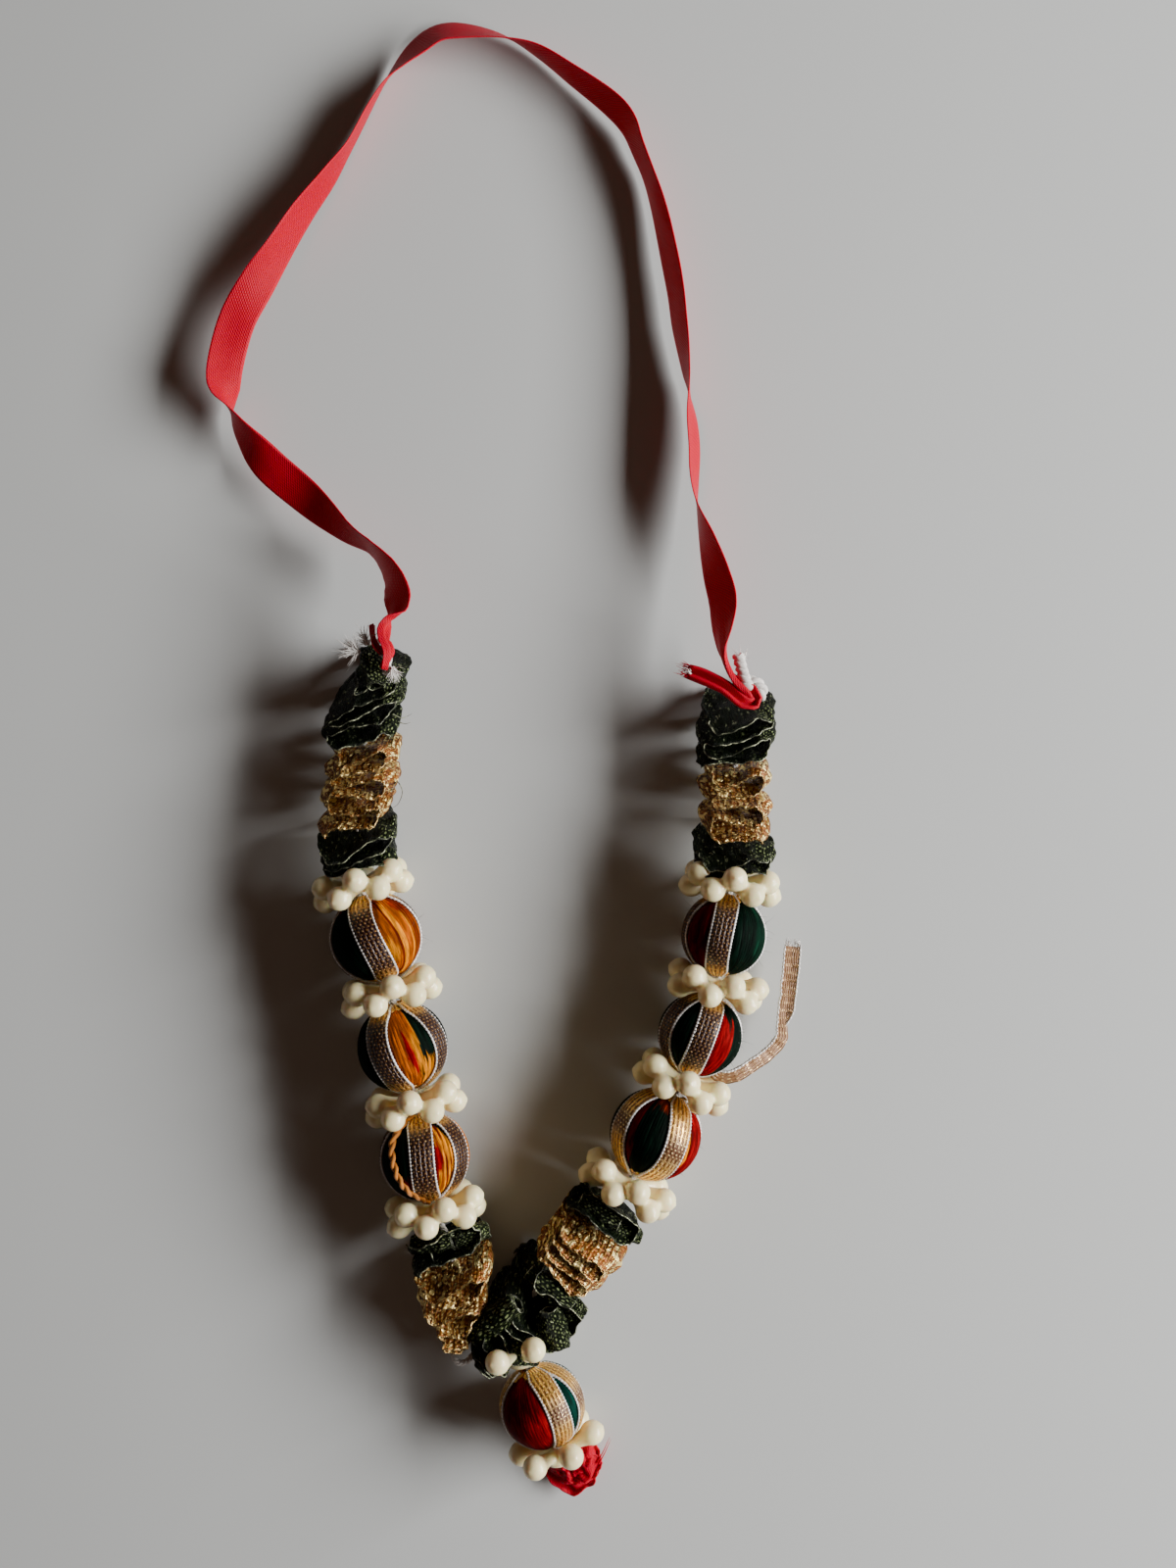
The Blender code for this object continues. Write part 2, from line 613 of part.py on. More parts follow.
def band_solid(route, width, thickness):
    """A flat band along a route of (x, y, z, tilt, share of width) samples."""
    rings = []
    for index, sample in enumerate(route):
        before = Vector(route[max(0, index - 1)][:3])
        after = Vector(route[min(len(route) - 1, index + 1)][:3])
        along = (after - before).normalized()
        outward = UP.cross(along).normalized()
        upward = along.cross(outward)
        tilt, half = math.radians(sample[3]), sample[4] * width / 2
        across = outward * math.cos(tilt) + upward * math.sin(tilt)
        normal = along.cross(across) * thickness / 2
        centre = Vector(sample[:3])
        rings.append([
            centre - across * half - normal,
            centre + across * half - normal,
            centre + across * half + normal,
            centre - across * half + normal,
        ])
    bm = bmesh.new()
    return grid_solid(bm, rings)


def strip_cage(name, material, axes, scale, strips, tail=None):
    """The gold strips of a ball, held together at both poles."""
    pieces = [new_object("ring", pole_ring(axes, scale, sign)) for sign in (-1, 1)]
    for azimuth in strips:
        pieces.append(new_object("strip", strip_band(axes, scale, azimuth)))
    if tail is not None:
        route = smooth_route([(*point, LOOSE_STRIP_TILT, 1.0) for point in tail], 3.2)
        pieces.append(new_object("tail", band_solid(route, LOOSE_STRIP_WIDTH, STRIP_OUTER - STRIP_INNER)))
    # The strips cross each other at the poles, where the exact solver leaves slivers.
    obj = join_solids(name, pieces, material, "MANIFOLD")
    shade_smooth(obj)
    return obj


def core_bead(name, material, axes, scale):
    """The drilled bead that the wool is wound on."""
    profile = [(HOLE_RADIUS / scale, -CORE_HALF_LENGTH)]
    for polar in CORE_STEPS:
        angle = math.radians(polar)
        profile.append((CORE_RADIUS * math.sin(angle), CORE_RADIUS * math.cos(angle)))
    profile.append((HOLE_RADIUS / scale, CORE_HALF_LENGTH))
    bm = turned_solid(profile, CORE_SIDES)
    bm.transform(axes @ Matrix.Rotation(math.radians(90.0), 4, "X") @ Matrix.Scale(scale, 4))
    obj = new_object(name, bm, material)
    shade_smooth(obj, 60.0)
    return obj


def wool_ball(name, materials, centre, direction, ball, tail=None):
    """Core bead, wool sectors and strip cage of one ball."""
    radius, strips, sectors = ball
    scale = radius / BALL_RADIUS
    axes = frame_along(centre, direction)
    core_bead(name + "_core", materials["core_bead"], axes, scale)
    for colour, low, high in sectors:
        wool_sector(name + "_wool_" + colour, materials["wool_" + colour], axes, scale, strips, low, high)
    strip_cage(name + "_strips", materials["strip_gold"], axes, scale, strips, tail)


def bead_row(side, spacers, balls, materials):
    """Spacers and balls of one strand, from the top down."""
    centres = [Vector((*plan, BEAD_HEIGHT)) for plan, _ in spacers]
    for index, (centre, (_, turn)) in enumerate(zip(centres, spacers)):
        before = centres[max(0, index - 1)]
        after = centres[min(len(centres) - 1, index + 1)]
        spacer(
            f"spacer_{side}_{index + 1}", materials["ivory_plastic"], centre, after - before,
            strand_spacer_arms(turn),
        )
    for index, ball in enumerate(balls):
        start, end = centres[index], centres[index + 1]
        tail = LOOSE_STRIP_ROUTE if (side, index) == ("right", 1) else None
        wool_ball(f"ball_{side}_{index + 1}", materials, (start + end) / 2, end - start, ball, tail)


def droop(direction, degrees):
    """Tips a level direction down towards the surface."""
    angle = math.radians(degrees)
    return direction * math.cos(angle) - UP * math.sin(angle)


def pendant(materials):
    """The pendant's two spacers and its ball."""
    top = droop(PENDANT_DIRECTION, PENDANT_TOP_DROOP)
    foot = droop(PENDANT_DIRECTION, PENDANT_FOOT_DROOP)
    plastic = materials["ivory_plastic"]
    spacer("spacer_pendant_top", plastic, PENDANT_TOP, top, [(a, 0.0) for a in PENDANT_TOP_ARMS])
    spacer("spacer_pendant_foot", plastic, PENDANT_FOOT, foot, [(a, 0.0) for a in PENDANT_FOOT_ARMS])
    middle = PENDANT_TOP.lerp(PENDANT_FOOT, PENDANT_BALL_SHARE)
    wool_ball("ball_pendant", materials, middle, PENDANT_FOOT - PENDANT_TOP, PENDANT_BALL)


def cord(name, material, points, step):
    """A round cord along a smooth route, as a bevelled curve with filled ends."""
    route = [place(point) for point in smooth_route(points, step)]
    curve = bpy.data.curves.new(name, "CURVE")
    curve.dimensions = "3D"
    curve.bevel_depth = CORD_RADIUS * MM
    curve.bevel_resolution = 2
    curve.use_fill_caps = True
    spline = curve.splines.new("POLY")
    spline.points.add(len(route) - 1)
    for point, position in zip(spline.points, route):
        point.co = (*position, 1.0)
    curve.materials.append(material)
    obj = bpy.data.objects.new(name, curve)
    bpy.context.scene.collection.objects.link(obj)
    return obj


def ribbon(name, material, points, step):
    """A flat ribbon that turns as it goes along its route."""
    obj = new_object(name, band_solid(smooth_route(points, step), RIBBON_WIDTH, RIBBON_THICKNESS), material)
    shade_smooth(obj)
    return obj


def pendant_cord_route():
    """From just below the strand cord, through the pendant, into the tied ribbon."""
    top = droop(PENDANT_DIRECTION, PENDANT_TOP_DROOP)
    foot = droop(PENDANT_DIRECTION, PENDANT_FOOT_DROOP)
    return (
        PENDANT_TOP - PENDANT_DIRECTION * 4.6 - UP * 1.2,
        PENDANT_TOP - top * 1.5,
        PENDANT_TOP + top * 1.5,
        (PENDANT_TOP + PENDANT_FOOT) / 2,
        PENDANT_FOOT - foot * 1.5,
        PENDANT_FOOT + foot * 1.9,
    )


def main():
    clear_scene()
    materials = {name: make_material(name) for name in COLOURS}
    frill_materials = {"green": materials["satin_green"], "gold": materials["lurex_gold"]}
    for seed, (name, colour, start, end, pleats, slant, left, right) in enumerate(FRILLS):
        run = (Vector(end) - Vector(start)).normalized()
        holes = [(Vector(start) - run * 2.0, Vector(end) + run * 2.0)]
        if name == "frill_centre_green":
            holes.append((PENDANT_TOP - PENDANT_DIRECTION * 5.6 - UP * 1.4, PENDANT_TOP))
        frill(name, frill_materials[colour], start, end, pleats, slant, left, right, holes, seed)
    bead_row("left", LEFT_SPACERS, LEFT_BALLS, materials)
    bead_row("right", RIGHT_SPACERS, RIGHT_BALLS, materials)
    pendant(materials)
    cord("strand_cord", materials["cotton_white"], STRAND_CORD_ROUTE, 4.8)
    cord("pendant_cord", materials["cotton_white"], pendant_cord_route(), 3.0)
    ribbon("loop_ribbon", materials["satin_red"], LOOP_RIBBON_ROUTE, 4.0)
    ribbon("pendant_knot", materials["satin_red"], KNOT_RIBBON_ROUTE, 1.4)


main()
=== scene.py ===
"""Looks of the bead and ribbon garland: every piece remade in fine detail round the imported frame.

Positions are plan millimetres, measured from a point near the middle of the whole garland: X to the
right, Y up along the strands, Z up from the surface that it lies on.
"""

import math
import random

import bmesh
import bpy
from bpy.props import FloatProperty, FloatVectorProperty, IntProperty, PointerProperty
from mathutils import Matrix, Vector, noise


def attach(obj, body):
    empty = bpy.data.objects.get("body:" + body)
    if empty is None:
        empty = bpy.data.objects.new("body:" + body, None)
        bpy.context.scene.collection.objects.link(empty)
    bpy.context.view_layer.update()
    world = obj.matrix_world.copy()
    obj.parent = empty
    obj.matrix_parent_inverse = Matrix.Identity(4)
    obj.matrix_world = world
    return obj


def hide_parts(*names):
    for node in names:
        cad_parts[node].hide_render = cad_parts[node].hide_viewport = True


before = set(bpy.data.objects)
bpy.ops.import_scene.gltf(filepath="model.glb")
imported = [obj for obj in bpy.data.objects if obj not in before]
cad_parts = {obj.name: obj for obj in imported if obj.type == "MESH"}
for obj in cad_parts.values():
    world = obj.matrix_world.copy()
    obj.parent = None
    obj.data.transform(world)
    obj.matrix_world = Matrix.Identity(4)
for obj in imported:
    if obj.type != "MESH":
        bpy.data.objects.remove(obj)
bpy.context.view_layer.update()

# Seed of the creases in every crumpled ribbon, so that they are the same each time.
CREASE_SEED = 7
noise.seed_set(CREASE_SEED)

bl_info = {
    "name": "Bead and ribbon garland",
    "version": (1, 0, 0),
    "blender": (4, 5, 0),
    "location": "3D View > Sidebar > Garland",
    "description": "Remakes the pieces of a small ribbon, wool and bead garland in fine detail",
    "category": "Object",
}

MM = 0.001
# Middle of the garland without its free ribbon, which is the frame's origin.
CENTRE = Vector((-5.275, -48.054, 0.0))
UP = Vector((0.0, 0.0, 1.0))

# Height of the cord in the bead rows.
BEAD_HEIGHT = 8.2

# Arms of a strand spacer: a row's offset along the cord, and for each unit of it the arms' shift in
# millimetres and their lean in degrees.
ARMS_PER_ROW = 6
ROW_OFFSET = 1.15
ARM_SHIFT = 0.25
ARM_LEAN = 6.2

# One arm as (distance from its axis, distance from the cord) below its bead, then the angles that
# shape the bead, then the nub that the mould leaves, measured from the bead's tip.
ARM_STALK = ((0.0, 0.8), (0.85, 0.9), (0.9, 2.2), (1.15, 3.8))
BEAD_ANGLES = (132, 112, 92, 72, 52, 34, 17)
MOULD_NUB = ((0.42, -0.03), (0.34, 0.12), (0.0, 0.18))
HUB_FLATTENED = 0.5

# Lowest height of each kind of piece over the floor, which leaves room for its own thickness.
LOWEST = {"plastic": 0.02, "fibre": 0.15, "frill": 0.2, "knot": 0.35}

# The frame's ball sizes, which the wool and the strips follow. Angles are from a pole.
BALL_RADIUS = 7.3
STRIP_END_ANGLE = 14.0
WOOL_END_ANGLE = 6.0

# Distance from the middle of a strip at which the wool begins to rise, and at which it is full
# again.
PRESSED_FROM, PRESSED_TO = 1.5, 3.3

# How far the edge of a patch of wool wanders, in degrees: sideways, along it and from thread to
# thread.
PATCH_WANDER = (5.0, 12.0, 16.0)

# Columns of faces across and rows along each sheet.
WOOL_COLUMNS, WOOL_ROWS = 3, 25
STRIP_GRID = (10, 38)
POLE_GRID = (104, 4)
LOOSE_STRIP_GRID = (16, 90)
FRILL_ACROSS = 14
ROLL_GRID = (20, 50)
RIBBON_ACROSS = 14
TAIL_GRID = (10, 24)
KNOT_GRID = (30, 90)
WAD_GRID = (44, 44)

# Seeds of the random draws of the loose fibres.
RIBBON_FRAY_SEED = 8
STRIP_FRAY_SEED = 5
TUFT_SEED = 11
HAIR_SEED = 3

# The frame's frill sizes, which the pleated ribbons follow.
FRILL_HALF_WIDTH = 5.6
FRILL_ROUND = 7.7
FRILL_BULGE = 0.85
FRILL_END = 0.5
LOBE_RADIUS = 2.1

# A pleat turns through half a circle in twice this many steps.
PLEAT_STEPS = 30
PLEAT_STEP_ANGLE = 90.0 / PLEAT_STEPS

# Length of ribbon from one fine rib of the gold frills to the next.
RIB_LENGTH = 1.05

# How each ribbon pleats: length and depth of its fine waves, how far a pleat closes at its edges,
# and its share of the lean.
PLEATING = {"green": (2.6, 0.09, 0.40, 1.0), "gold": (RIB_LENGTH, 0.11, 0.72, 0.8)}

# The centre frill reaches further round the cord than the others, and leans towards the pendant.
CENTRE_FRILL = "frill_centre_green"
CENTRE_FRILL_ROUND = 9.5
CENTRE_FRILL_LEAN = 0.35

# How far the pleats of a frill may lean out past its two ends, less where a spacer is next to it,
# and the length over which they crowd together there.
FRILL_FREE_ROOM = (4.5, 4.5)
FRILL_ROOM = {
    "frill_left_3_green": (4.5, 3.0),
    "frill_left_4_green": (2.0, 4.5),
    "frill_left_5_gold": (4.5, -0.6),
    "frill_centre_green": (2.5, 0.5),
    "frill_right_3_green": (4.5, 3.4),
    "frill_right_4_green": (2.0, 4.5),
}
CROWDED = 1.6

# Patches of wool shorter than this angle end in points, like flames.
FLAME_LENGTH = 70.0

# Orange threads whose own shade, from -1 to 1, is further from 0 than this are yellow or rust
# instead.
FLECKED = 0.62

# Length of ribbon from one sample of its route to the next.
ROUTE_STEP = 0.8

# Bead rows from the top of each strand down: plan position and turn of the spacer about the cord.
LEFT_SPACERS = (
    ((-37.1, -16.5), 0.0), ((-32.4, -33.9), 12.0), ((-28.4, -52.1), 0.0), ((-25.0, -69.7), 20.0)
)
RIGHT_SPACERS = (
    ((23.4, -16.3), 0.0), ((21.1, -33.1), 18.0), ((15.6, -48.9), 0.0), ((6.5, -65.8), 10.0)
)

# Pendant: direction in plan, and its spacers with arm angles, height and droop towards the surface.
PENDANT_DIRECTION = Vector((0.355, -0.935, 0.0))
PENDANT_TOP = Vector((-10.45, -94.1, 8.2))
PENDANT_TOP_ARMS = (-41, 19, 79, 139, 199)
PENDANT_TOP_DROOP = 6.0
PENDANT_BALL_SHARE = 0.485
PENDANT_FOOT = Vector((-4.4, -110.2, 7.5))
PENDANT_FOOT_ARMS = (-98, -38, 22, 82, 142, 202)
PENDANT_FOOT_DROOP = 20.0

# The dressed spacers of the pendant: offset of the arms, which leans them back towards the strands,
# droop of the axis, and turn of the arms.
PENDANT_TOP_LEAN = (-2.6, 0.0, 7.0)
PENDANT_FOOT_LEAN = (-2.3, 8.0, 0.0)

# Frills: name, colour, top and bottom of the axis (x, y, z), pleats, slant of the pleats at the
# top, middle and bottom, and the reach to the left and right at fractions of the way down.
FRILLS = (
    (
        "frill_left_1_green", "green", (-35.9, 20.6, 6.3), (-36.8, 8.7, 6.6), 5,
        (-0.2, -0.45, -0.3),
        ((0.0, 1.8), (0.3, 2.4), (0.5, 6.6), (1.0, 6.5)),
        ((0.0, 2.8), (0.2, 6.2), (0.5, 6.5), (1.0, 5.6)),
    ),
    (
        "frill_left_2_gold", "gold", (-36.8, 8.4, 6.6), (-37.7, -5.9, 7.4), 6, (-0.3, -0.05, -0.35),
        ((0.0, 5.0), (0.5, 6.3), (1.0, 6.3)),
        ((0.0, 5.4), (0.5, 6.4), (1.0, 5.0)),
    ),
    (
        "frill_left_3_green", "green", (-37.7, -6.2, 7.4), (-37.4, -12.6, 8.1), 3,
        (-0.35, -0.2, 0.0),
        ((0.0, 6.6), (1.0, 6.6)),
        ((0.0, 6.2), (1.0, 6.4)),
    ),
    (
        "frill_left_4_green", "green", (-23.6, -73.2, 8.2), (-22.3, -76.3, 7.9), 2,
        (0.0, -0.05, -0.1),
        ((0.0, 6.8), (1.0, 6.8)),
        ((0.0, 6.8), (1.0, 6.8)),
    ),
    (
        "frill_left_5_gold", "gold", (-22.1, -76.8, 7.8), (-22.3, -92.4, 6.6), 6,
        (-0.42, -0.15, 0.0),
        ((0.0, 6.2), (0.4, 5.6), (0.6, 3.6), (0.85, 1.8), (1.0, 1.4)),
        ((0.0, 6.8), (0.35, 7.0), (0.6, 5.4), (0.8, 3.6), (1.0, 2.6)),
    ),
    (
        "frill_centre_green", "green", (-6.0, -81.1, 6.6), (-18.2, -93.3, 6.4), 7, (0.0, 0.15, 0.0),
        ((0.0, 5.6), (0.6, 4.8), (0.85, 2.9), (1.0, 2.4)),
        ((0.0, 7.4), (0.25, 8.0), (0.45, 6.4), (0.6, 4.3), (0.85, 2.6), (1.0, 2.3)),
    ),
    (
        "frill_right_5_gold", "gold", (2.2, -71.8, 7.8), (-3.7, -78.7, 6.9), 4, (0.0, 0.1, 0.0),
        ((0.0, 6.6), (1.0, 6.8)),
        ((0.0, 6.4), (1.0, 7.4)),
    ),
    (
        "frill_right_4_green", "green", (4.4, -68.7, 8.2), (2.5, -71.4, 7.9), 2, (0.0, 0.0, 0.0),
        ((0.0, 6.7), (1.0, 6.7)),
        ((0.0, 6.7), (1.0, 6.7)),
    ),
    (
        "frill_right_3_green", "green", (23.9, -8.3, 7.6), (23.6, -13.0, 8.1), 2, (-0.1, -0.1, 0.0),
        ((0.0, 6.6), (1.0, 6.6)),
        ((0.0, 6.6), (1.0, 6.6)),
    ),
    (
        "frill_right_2_gold", "gold", (24.3, 4.8, 6.7), (23.9, -8.0, 7.5), 5, (-0.2, 0.1, -0.1),
        ((0.0, 5.2), (0.4, 6.2), (1.0, 6.0)),
        ((0.0, 5.6), (0.5, 6.0), (1.0, 6.0)),
    ),
    (
        "frill_right_1_green", "green", (24.6, 14.6, 6.3), (24.3, 5.1, 6.6), 4, (-0.1, -0.3, -0.2),
        ((0.0, 5.4), (0.4, 6.5), (1.0, 6.3)),
        ((0.0, 5.4), (0.4, 6.8), (1.0, 6.6)),
    ),
)

# White cotton cord through everything, from its left end to its right end.
STRAND_CORD_ROUTE = (
    (-32.7, 17.6, 13.2),
    (-31.9, 20.4, 13.4),
    (-32.6, 22.6, 12.0),
    (-34.4, 23.2, 9.0),
    (-35.8, 21.8, 6.8),
    (-36.0, 19.0, 6.35),
    (-36.8, 8.5, 6.6),
    (-37.7, -6.0, 7.4),
    (-37.4, -13.0, 8.05),
    (-37.1, -16.5, 8.2),
    (-32.4, -33.9, 8.2),
    (-28.4, -52.1, 8.2),
    (-25.0, -69.7, 8.2),
    (-23.7, -72.9, 8.05),
    (-22.2, -76.5, 7.85),
    (-22.25, -84.0, 7.2),
    (-22.3, -92.8, 6.6),
    (-21.6, -95.3, 6.5),
    (-19.9, -95.2, 6.4),
    (-18.2, -93.3, 6.4),
    (-12.1, -87.2, 6.5),
    (-6.0, -81.1, 6.6),
    (-3.7, -78.7, 6.9),
    (2.3, -71.6, 7.85),
    (4.6, -68.4, 8.05),
    (6.5, -65.8, 8.2),
    (15.6, -48.9, 8.2),
    (21.1, -33.1, 8.2),
    (23.4, -16.3, 8.2),
    (23.6, -13.0, 8.05),
    (23.9, -8.1, 7.55),
    (24.3, 4.9, 6.65),
    (24.6, 14.0, 6.35),
    (24.9, 17.0, 6.6),
    (25.3, 20.4, 7.4),
)

# Loop ribbon from its tucked left end round to its cut right end: x, y, z, tilt and share of its
# full width. At tilt 0 it lies flat, and a positive tilt lifts its outer edge. Minus 180 is flat,
# other face up.
LOOP_RIBBON_ROUTE = (
    (-33.9, 18.4, 15.2, -60.0, 0.27),
    (-33.0, 21.2, 15.6, -100.0, 0.42),
    (-34.0, 23.6, 14.6, -105.0, 0.45),
    (-33.6, 25.6, 13.2, -112.0, 0.5),
    (-31.9, 27.9, 12.0, -49.0, 0.8),
    (-31.3, 30.8, 10.8, -40.0, 1.0),
    (-32.4, 34.6, 9.4, -57.0, 1.0),
    (-35.8, 38.9, 8.0, -76.0, 1.0),
    (-40.5, 42.1, 6.6, -59.0, 1.0),
    (-47.0, 47.8, 5.2, -22.0, 1.0),
    (-52.8, 52.8, 4.7, -16.0, 1.0),
    (-57.0, 57.8, 4.6, -54.0, 1.0),
    (-59.4, 62.0, 4.6, -84.0, 1.0),
    (-60.5, 66.4, 4.6, -143.0, 1.0),
    (-60.0, 71.0, 4.6, -158.0, 1.0),
    (-58.2, 77.3, 4.5, -166.0, 1.0),
    (-55.1, 83.0, 4.4, -149.0, 1.0),
    (-51.5, 88.8, 4.3, -123.0, 1.0),
    (-47.3, 95.4, 4.1, -111.0, 1.0),
    (-43.2, 101.1, 3.9, -99.0, 1.0),
    (-40.0, 106.0, 3.7, -85.0, 1.0),
    (-36.7, 112.2, 3.5, -83.0, 1.0),
    (-34.2, 116.6, 3.4, -77.0, 1.0),
    (-31.8, 119.6, 3.4, -61.0, 1.0),
    (-28.5, 122.8, 3.5, -44.0, 1.0),
    (-24.9, 125.2, 3.6, -42.0, 1.0),
    (-20.4, 125.5, 3.7, -46.0, 1.0),
    (-14.7, 124.7, 3.6, -62.0, 1.0),
    (-8.3, 122.1, 3.6, -89.0, 1.0),
    (-2.3, 117.9, 3.7, -102.0, 1.0),
    (3.8, 113.3, 3.9, -111.0, 1.0),
    (6.7, 110.0, 3.9, -110.0, 1.0),
    (8.3, 106.1, 3.9, -105.0, 1.0),
    (10.3, 100.9, 3.8, -102.0, 1.0),
    (12.6, 92.5, 3.9, -112.0, 1.0),
    (14.5, 82.9, 4.1, -113.0, 1.0),
    (15.3, 76.2, 4.2, -111.0, 1.0),
    (16.3, 69.3, 4.3, -98.0, 1.0),
    (16.8, 66.2, 4.3, -88.0, 1.0),
    (17.3, 61.2, 4.5, -72.0, 1.0),
    (17.6, 56.2, 4.7, -69.0, 1.0),
    (17.6, 51.2, 5.0, -72.0, 1.0),
    (18.1, 46.1, 5.5, -86.0, 1.0),
    (19.6, 40.1, 6.4, -113.0, 1.0),
    (21.1, 34.4, 7.4, -132.0, 1.0),
    (22.1, 29.9, 8.4, -134.0, 1.0),
    (22.0, 25.0, 9.8, -121.0, 0.9),
    (22.0, 20.6, 11.4, -98.0, 0.67),
    (23.6, 16.9, 12.8, -75.0, 0.43),
    (26.2, 14.9, 13.0, -30.0, 0.4),
    (26.9, 13.2, 12.9, 10.0, 0.37),
    (25.0, 13.2, 13.3, 15.0, 0.4),
    (22.0, 15.6, 13.2, 15.0, 0.4),
    (18.4, 17.4, 12.4, 10.0, 0.43),
    (16.2, 18.2, 11.8, 0.0, 0.37),
)

# Cut tail of that ribbon at its tucked end, in the same way.
RIBBON_TAIL_ROUTE = (
    (-34.9, 25.6, 12.4, -80.0, 0.14),
    (-34.6, 23.8, 13.4, -80.0, 0.2),
    (-33.9, 22.2, 14.6, -60.0, 0.34),
    (-32.6, 21.0, 15.4, -40.0, 0.34),
)

# Folded ribbon tied in below the pendant, in the same way.
KNOT_RIBBON_ROUTE = (
    (-3.2, -112.4, 5.2, 15.0, 0.57),
    (-1.4, -112.6, 5.3, 10.0, 0.73),
    (0.4, -113.6, 5.0, 5.0, 0.77),
    (1.2, -115.4, 4.3, 0.0, 0.77),
    (0.2, -117.2, 3.4, -5.0, 0.73),
    (-1.8, -117.6, 2.5, -5.0, 0.73),
    (-3.6, -116.6, 1.8, 0.0, 0.73),
    (-4.4, -114.9, 1.4, 5.0, 0.7),
    (-3.4, -113.4, 1.2, 5.0, 0.63),
)

# Further fold of that knot, which only the dressed garland has.
KNOT_FOLD_ROUTE = (
    (-4.8, -112.4, 2.6, 20.0, 0.5),
    (-3.6, -114.6, 3.0, 10.0, 0.66),
    (-1.6, -115.6, 3.6, -10.0, 0.66),
    (0.2, -114.2, 4.4, 10.0, 0.6),
    (0.2, -111.8, 5.0, 30.0, 0.55),
    (-0.6, -109.6, 4.8, 20.0, 0.45),
)

# The folds of the knot: route, how far drawn-in ribbon folds, scale and depth of its creases, and
# shift.
KNOT_FOLDS = (
    (KNOT_RIBBON_ROUTE, 1.6, 0.55, 0.7, (-1.5, 1.3, 0.0)),
    (KNOT_FOLD_ROUTE, 1.3, 0.8, 0.6, (0.0, 1.0, 0.0)),
)

# Crumpled ribbon that fills the knot: middle, half its length and its height.
WAD_MIDDLE = Vector((-2.5, -113.4, 0.9))
WAD_REACH = 4.4
WAD_HEIGHT = 3.2

# Loose thread of the knot.
KNOT_THREAD = ((1.6, -112.6, 4.6), (2.6, -110.8, 4.4), (3.6, -108.9, 3.6))

# Loose end of a gold strip on the second right ball, folded double lengthwise.
LOOSE_STRIP_BALL = "ball_right_2"
LOOSE_STRIP_ROUTE = (
    (20.55, -47.0, 8.2),
    (21.7, -48.0, 8.2),
    (24.0, -47.9, 8.0),
    (27.0, -46.4, 7.0),
    (30.4, -44.2, 5.6),
    (32.2, -41.8, 4.8),
    (33.0, -37.0, 4.3),
    (33.6, -32.0, 4.2),
    (34.0, -27.0, 4.4),
)

# Balls: name, strand and place in it, radius, lean of the strips, strip angles from straight up,
# the wool of its two sectors with the strips that each runs between, and patches of other wool
# wound over it as (wool, first and last angle from straight up, first and last angle from the top
# pole).
BALLS = (
    (
        "ball_left_1", "left", 0, 7.3, 12.0, (0, 106, 180, 270),
        (("green", 180, 360), ("orange", 0, 180)),
        (
            ("rust", -80, -12, 0, 42), ("rust", 52, 82, 30, 74), ("yellow", 12, 34, 92, 128),
            ("rust", 20, 44, 24, 52),
        ),
    ),
    (
        "ball_left_2", "left", 1, 7.3, 10.0, (66, 157, 247, 337),
        (("green", 66, 337), ("orange", -23, 66)),
        (
            ("rust", -20, -2, 30, 150), ("yellow", 22, 44, 70, 140), ("green", 30, 64, 20, 108),
            ("red", 9, 21, 66, 118), ("green", 18, 30, 118, 134),
        ),
    ),
    (
        "ball_left_3", "left", 2, 7.2, -6.0, (2, 63, 150, 270),
        (("green", 150, 362), ("orange", 2, 150)),
        (
            ("crimson", -32, 0, 104, 150), ("green", 28, 66, 10, 66), ("red", 12, 30, 62, 112),
            ("yellow", 32, 50, 60, 96),
        ),
    ),
    (
        "ball_right_1", "right", 0, 6.75, -4.0, (100, 190, 277, 351),
        (("red", 190, 351), ("green", -9, 190)),
        (("crimson", -75, -10, 10, 170), ("moss", 46, 100, 30, 120), ("red", 2, 24, 140, 172)),
    ),
    (
        "ball_right_2", "right", 1, 6.75, -2.0, (0, 106, 180, 298),
        (("green", 90, 360), ("red", 0, 90)),
        (("green", 46, 90, 10, 170), ("green", 26, 50, 10, 62), ("moss", -60, -30, 100, 160)),
    ),
    (
        "ball_right_3", "right", 2, 7.4, 8.0, (25, 115, 210, 300),
        (("green", 210, 385), ("red", 25, 210)),
        (
            ("rust", -30, 16, 10, 52), ("orange", 34, 48, 30, 150), ("orange", 84, 112, 30, 150),
            ("crimson", -58, -30, 30, 160),
        ),
    ),
    (
        "ball_pendant", "pendant", 0, 6.8, 0.0, (26, 76, 180, 275),
        (("red", 180, 386), ("teal", 26, 180)),
        (("crimson", -90, 26, 0, 84), ("red", -40, 20, 96, 150), ("teal", 30, 74, 10, 170)),
    ),
)

# Wool colours, and how far each thread may be darker or lighter.
WOOL = {
    "green": ((0.0012, 0.006, 0.0035), 0.5),
    "moss": ((0.0008, 0.016, 0.008), 0.5),
    "orange": ((0.31, 0.062, 0.0), 0.6),
    "rust": ((0.19, 0.014, 0.0), 0.5),
    "yellow": ((0.48, 0.155, 0.0), 0.45),
    "red": ((0.20, 0.0, 0.002), 0.4),
    "crimson": ((0.10, 0.0, 0.0015), 0.4),
    "teal": ((0.0, 0.034, 0.024), 0.35),
}

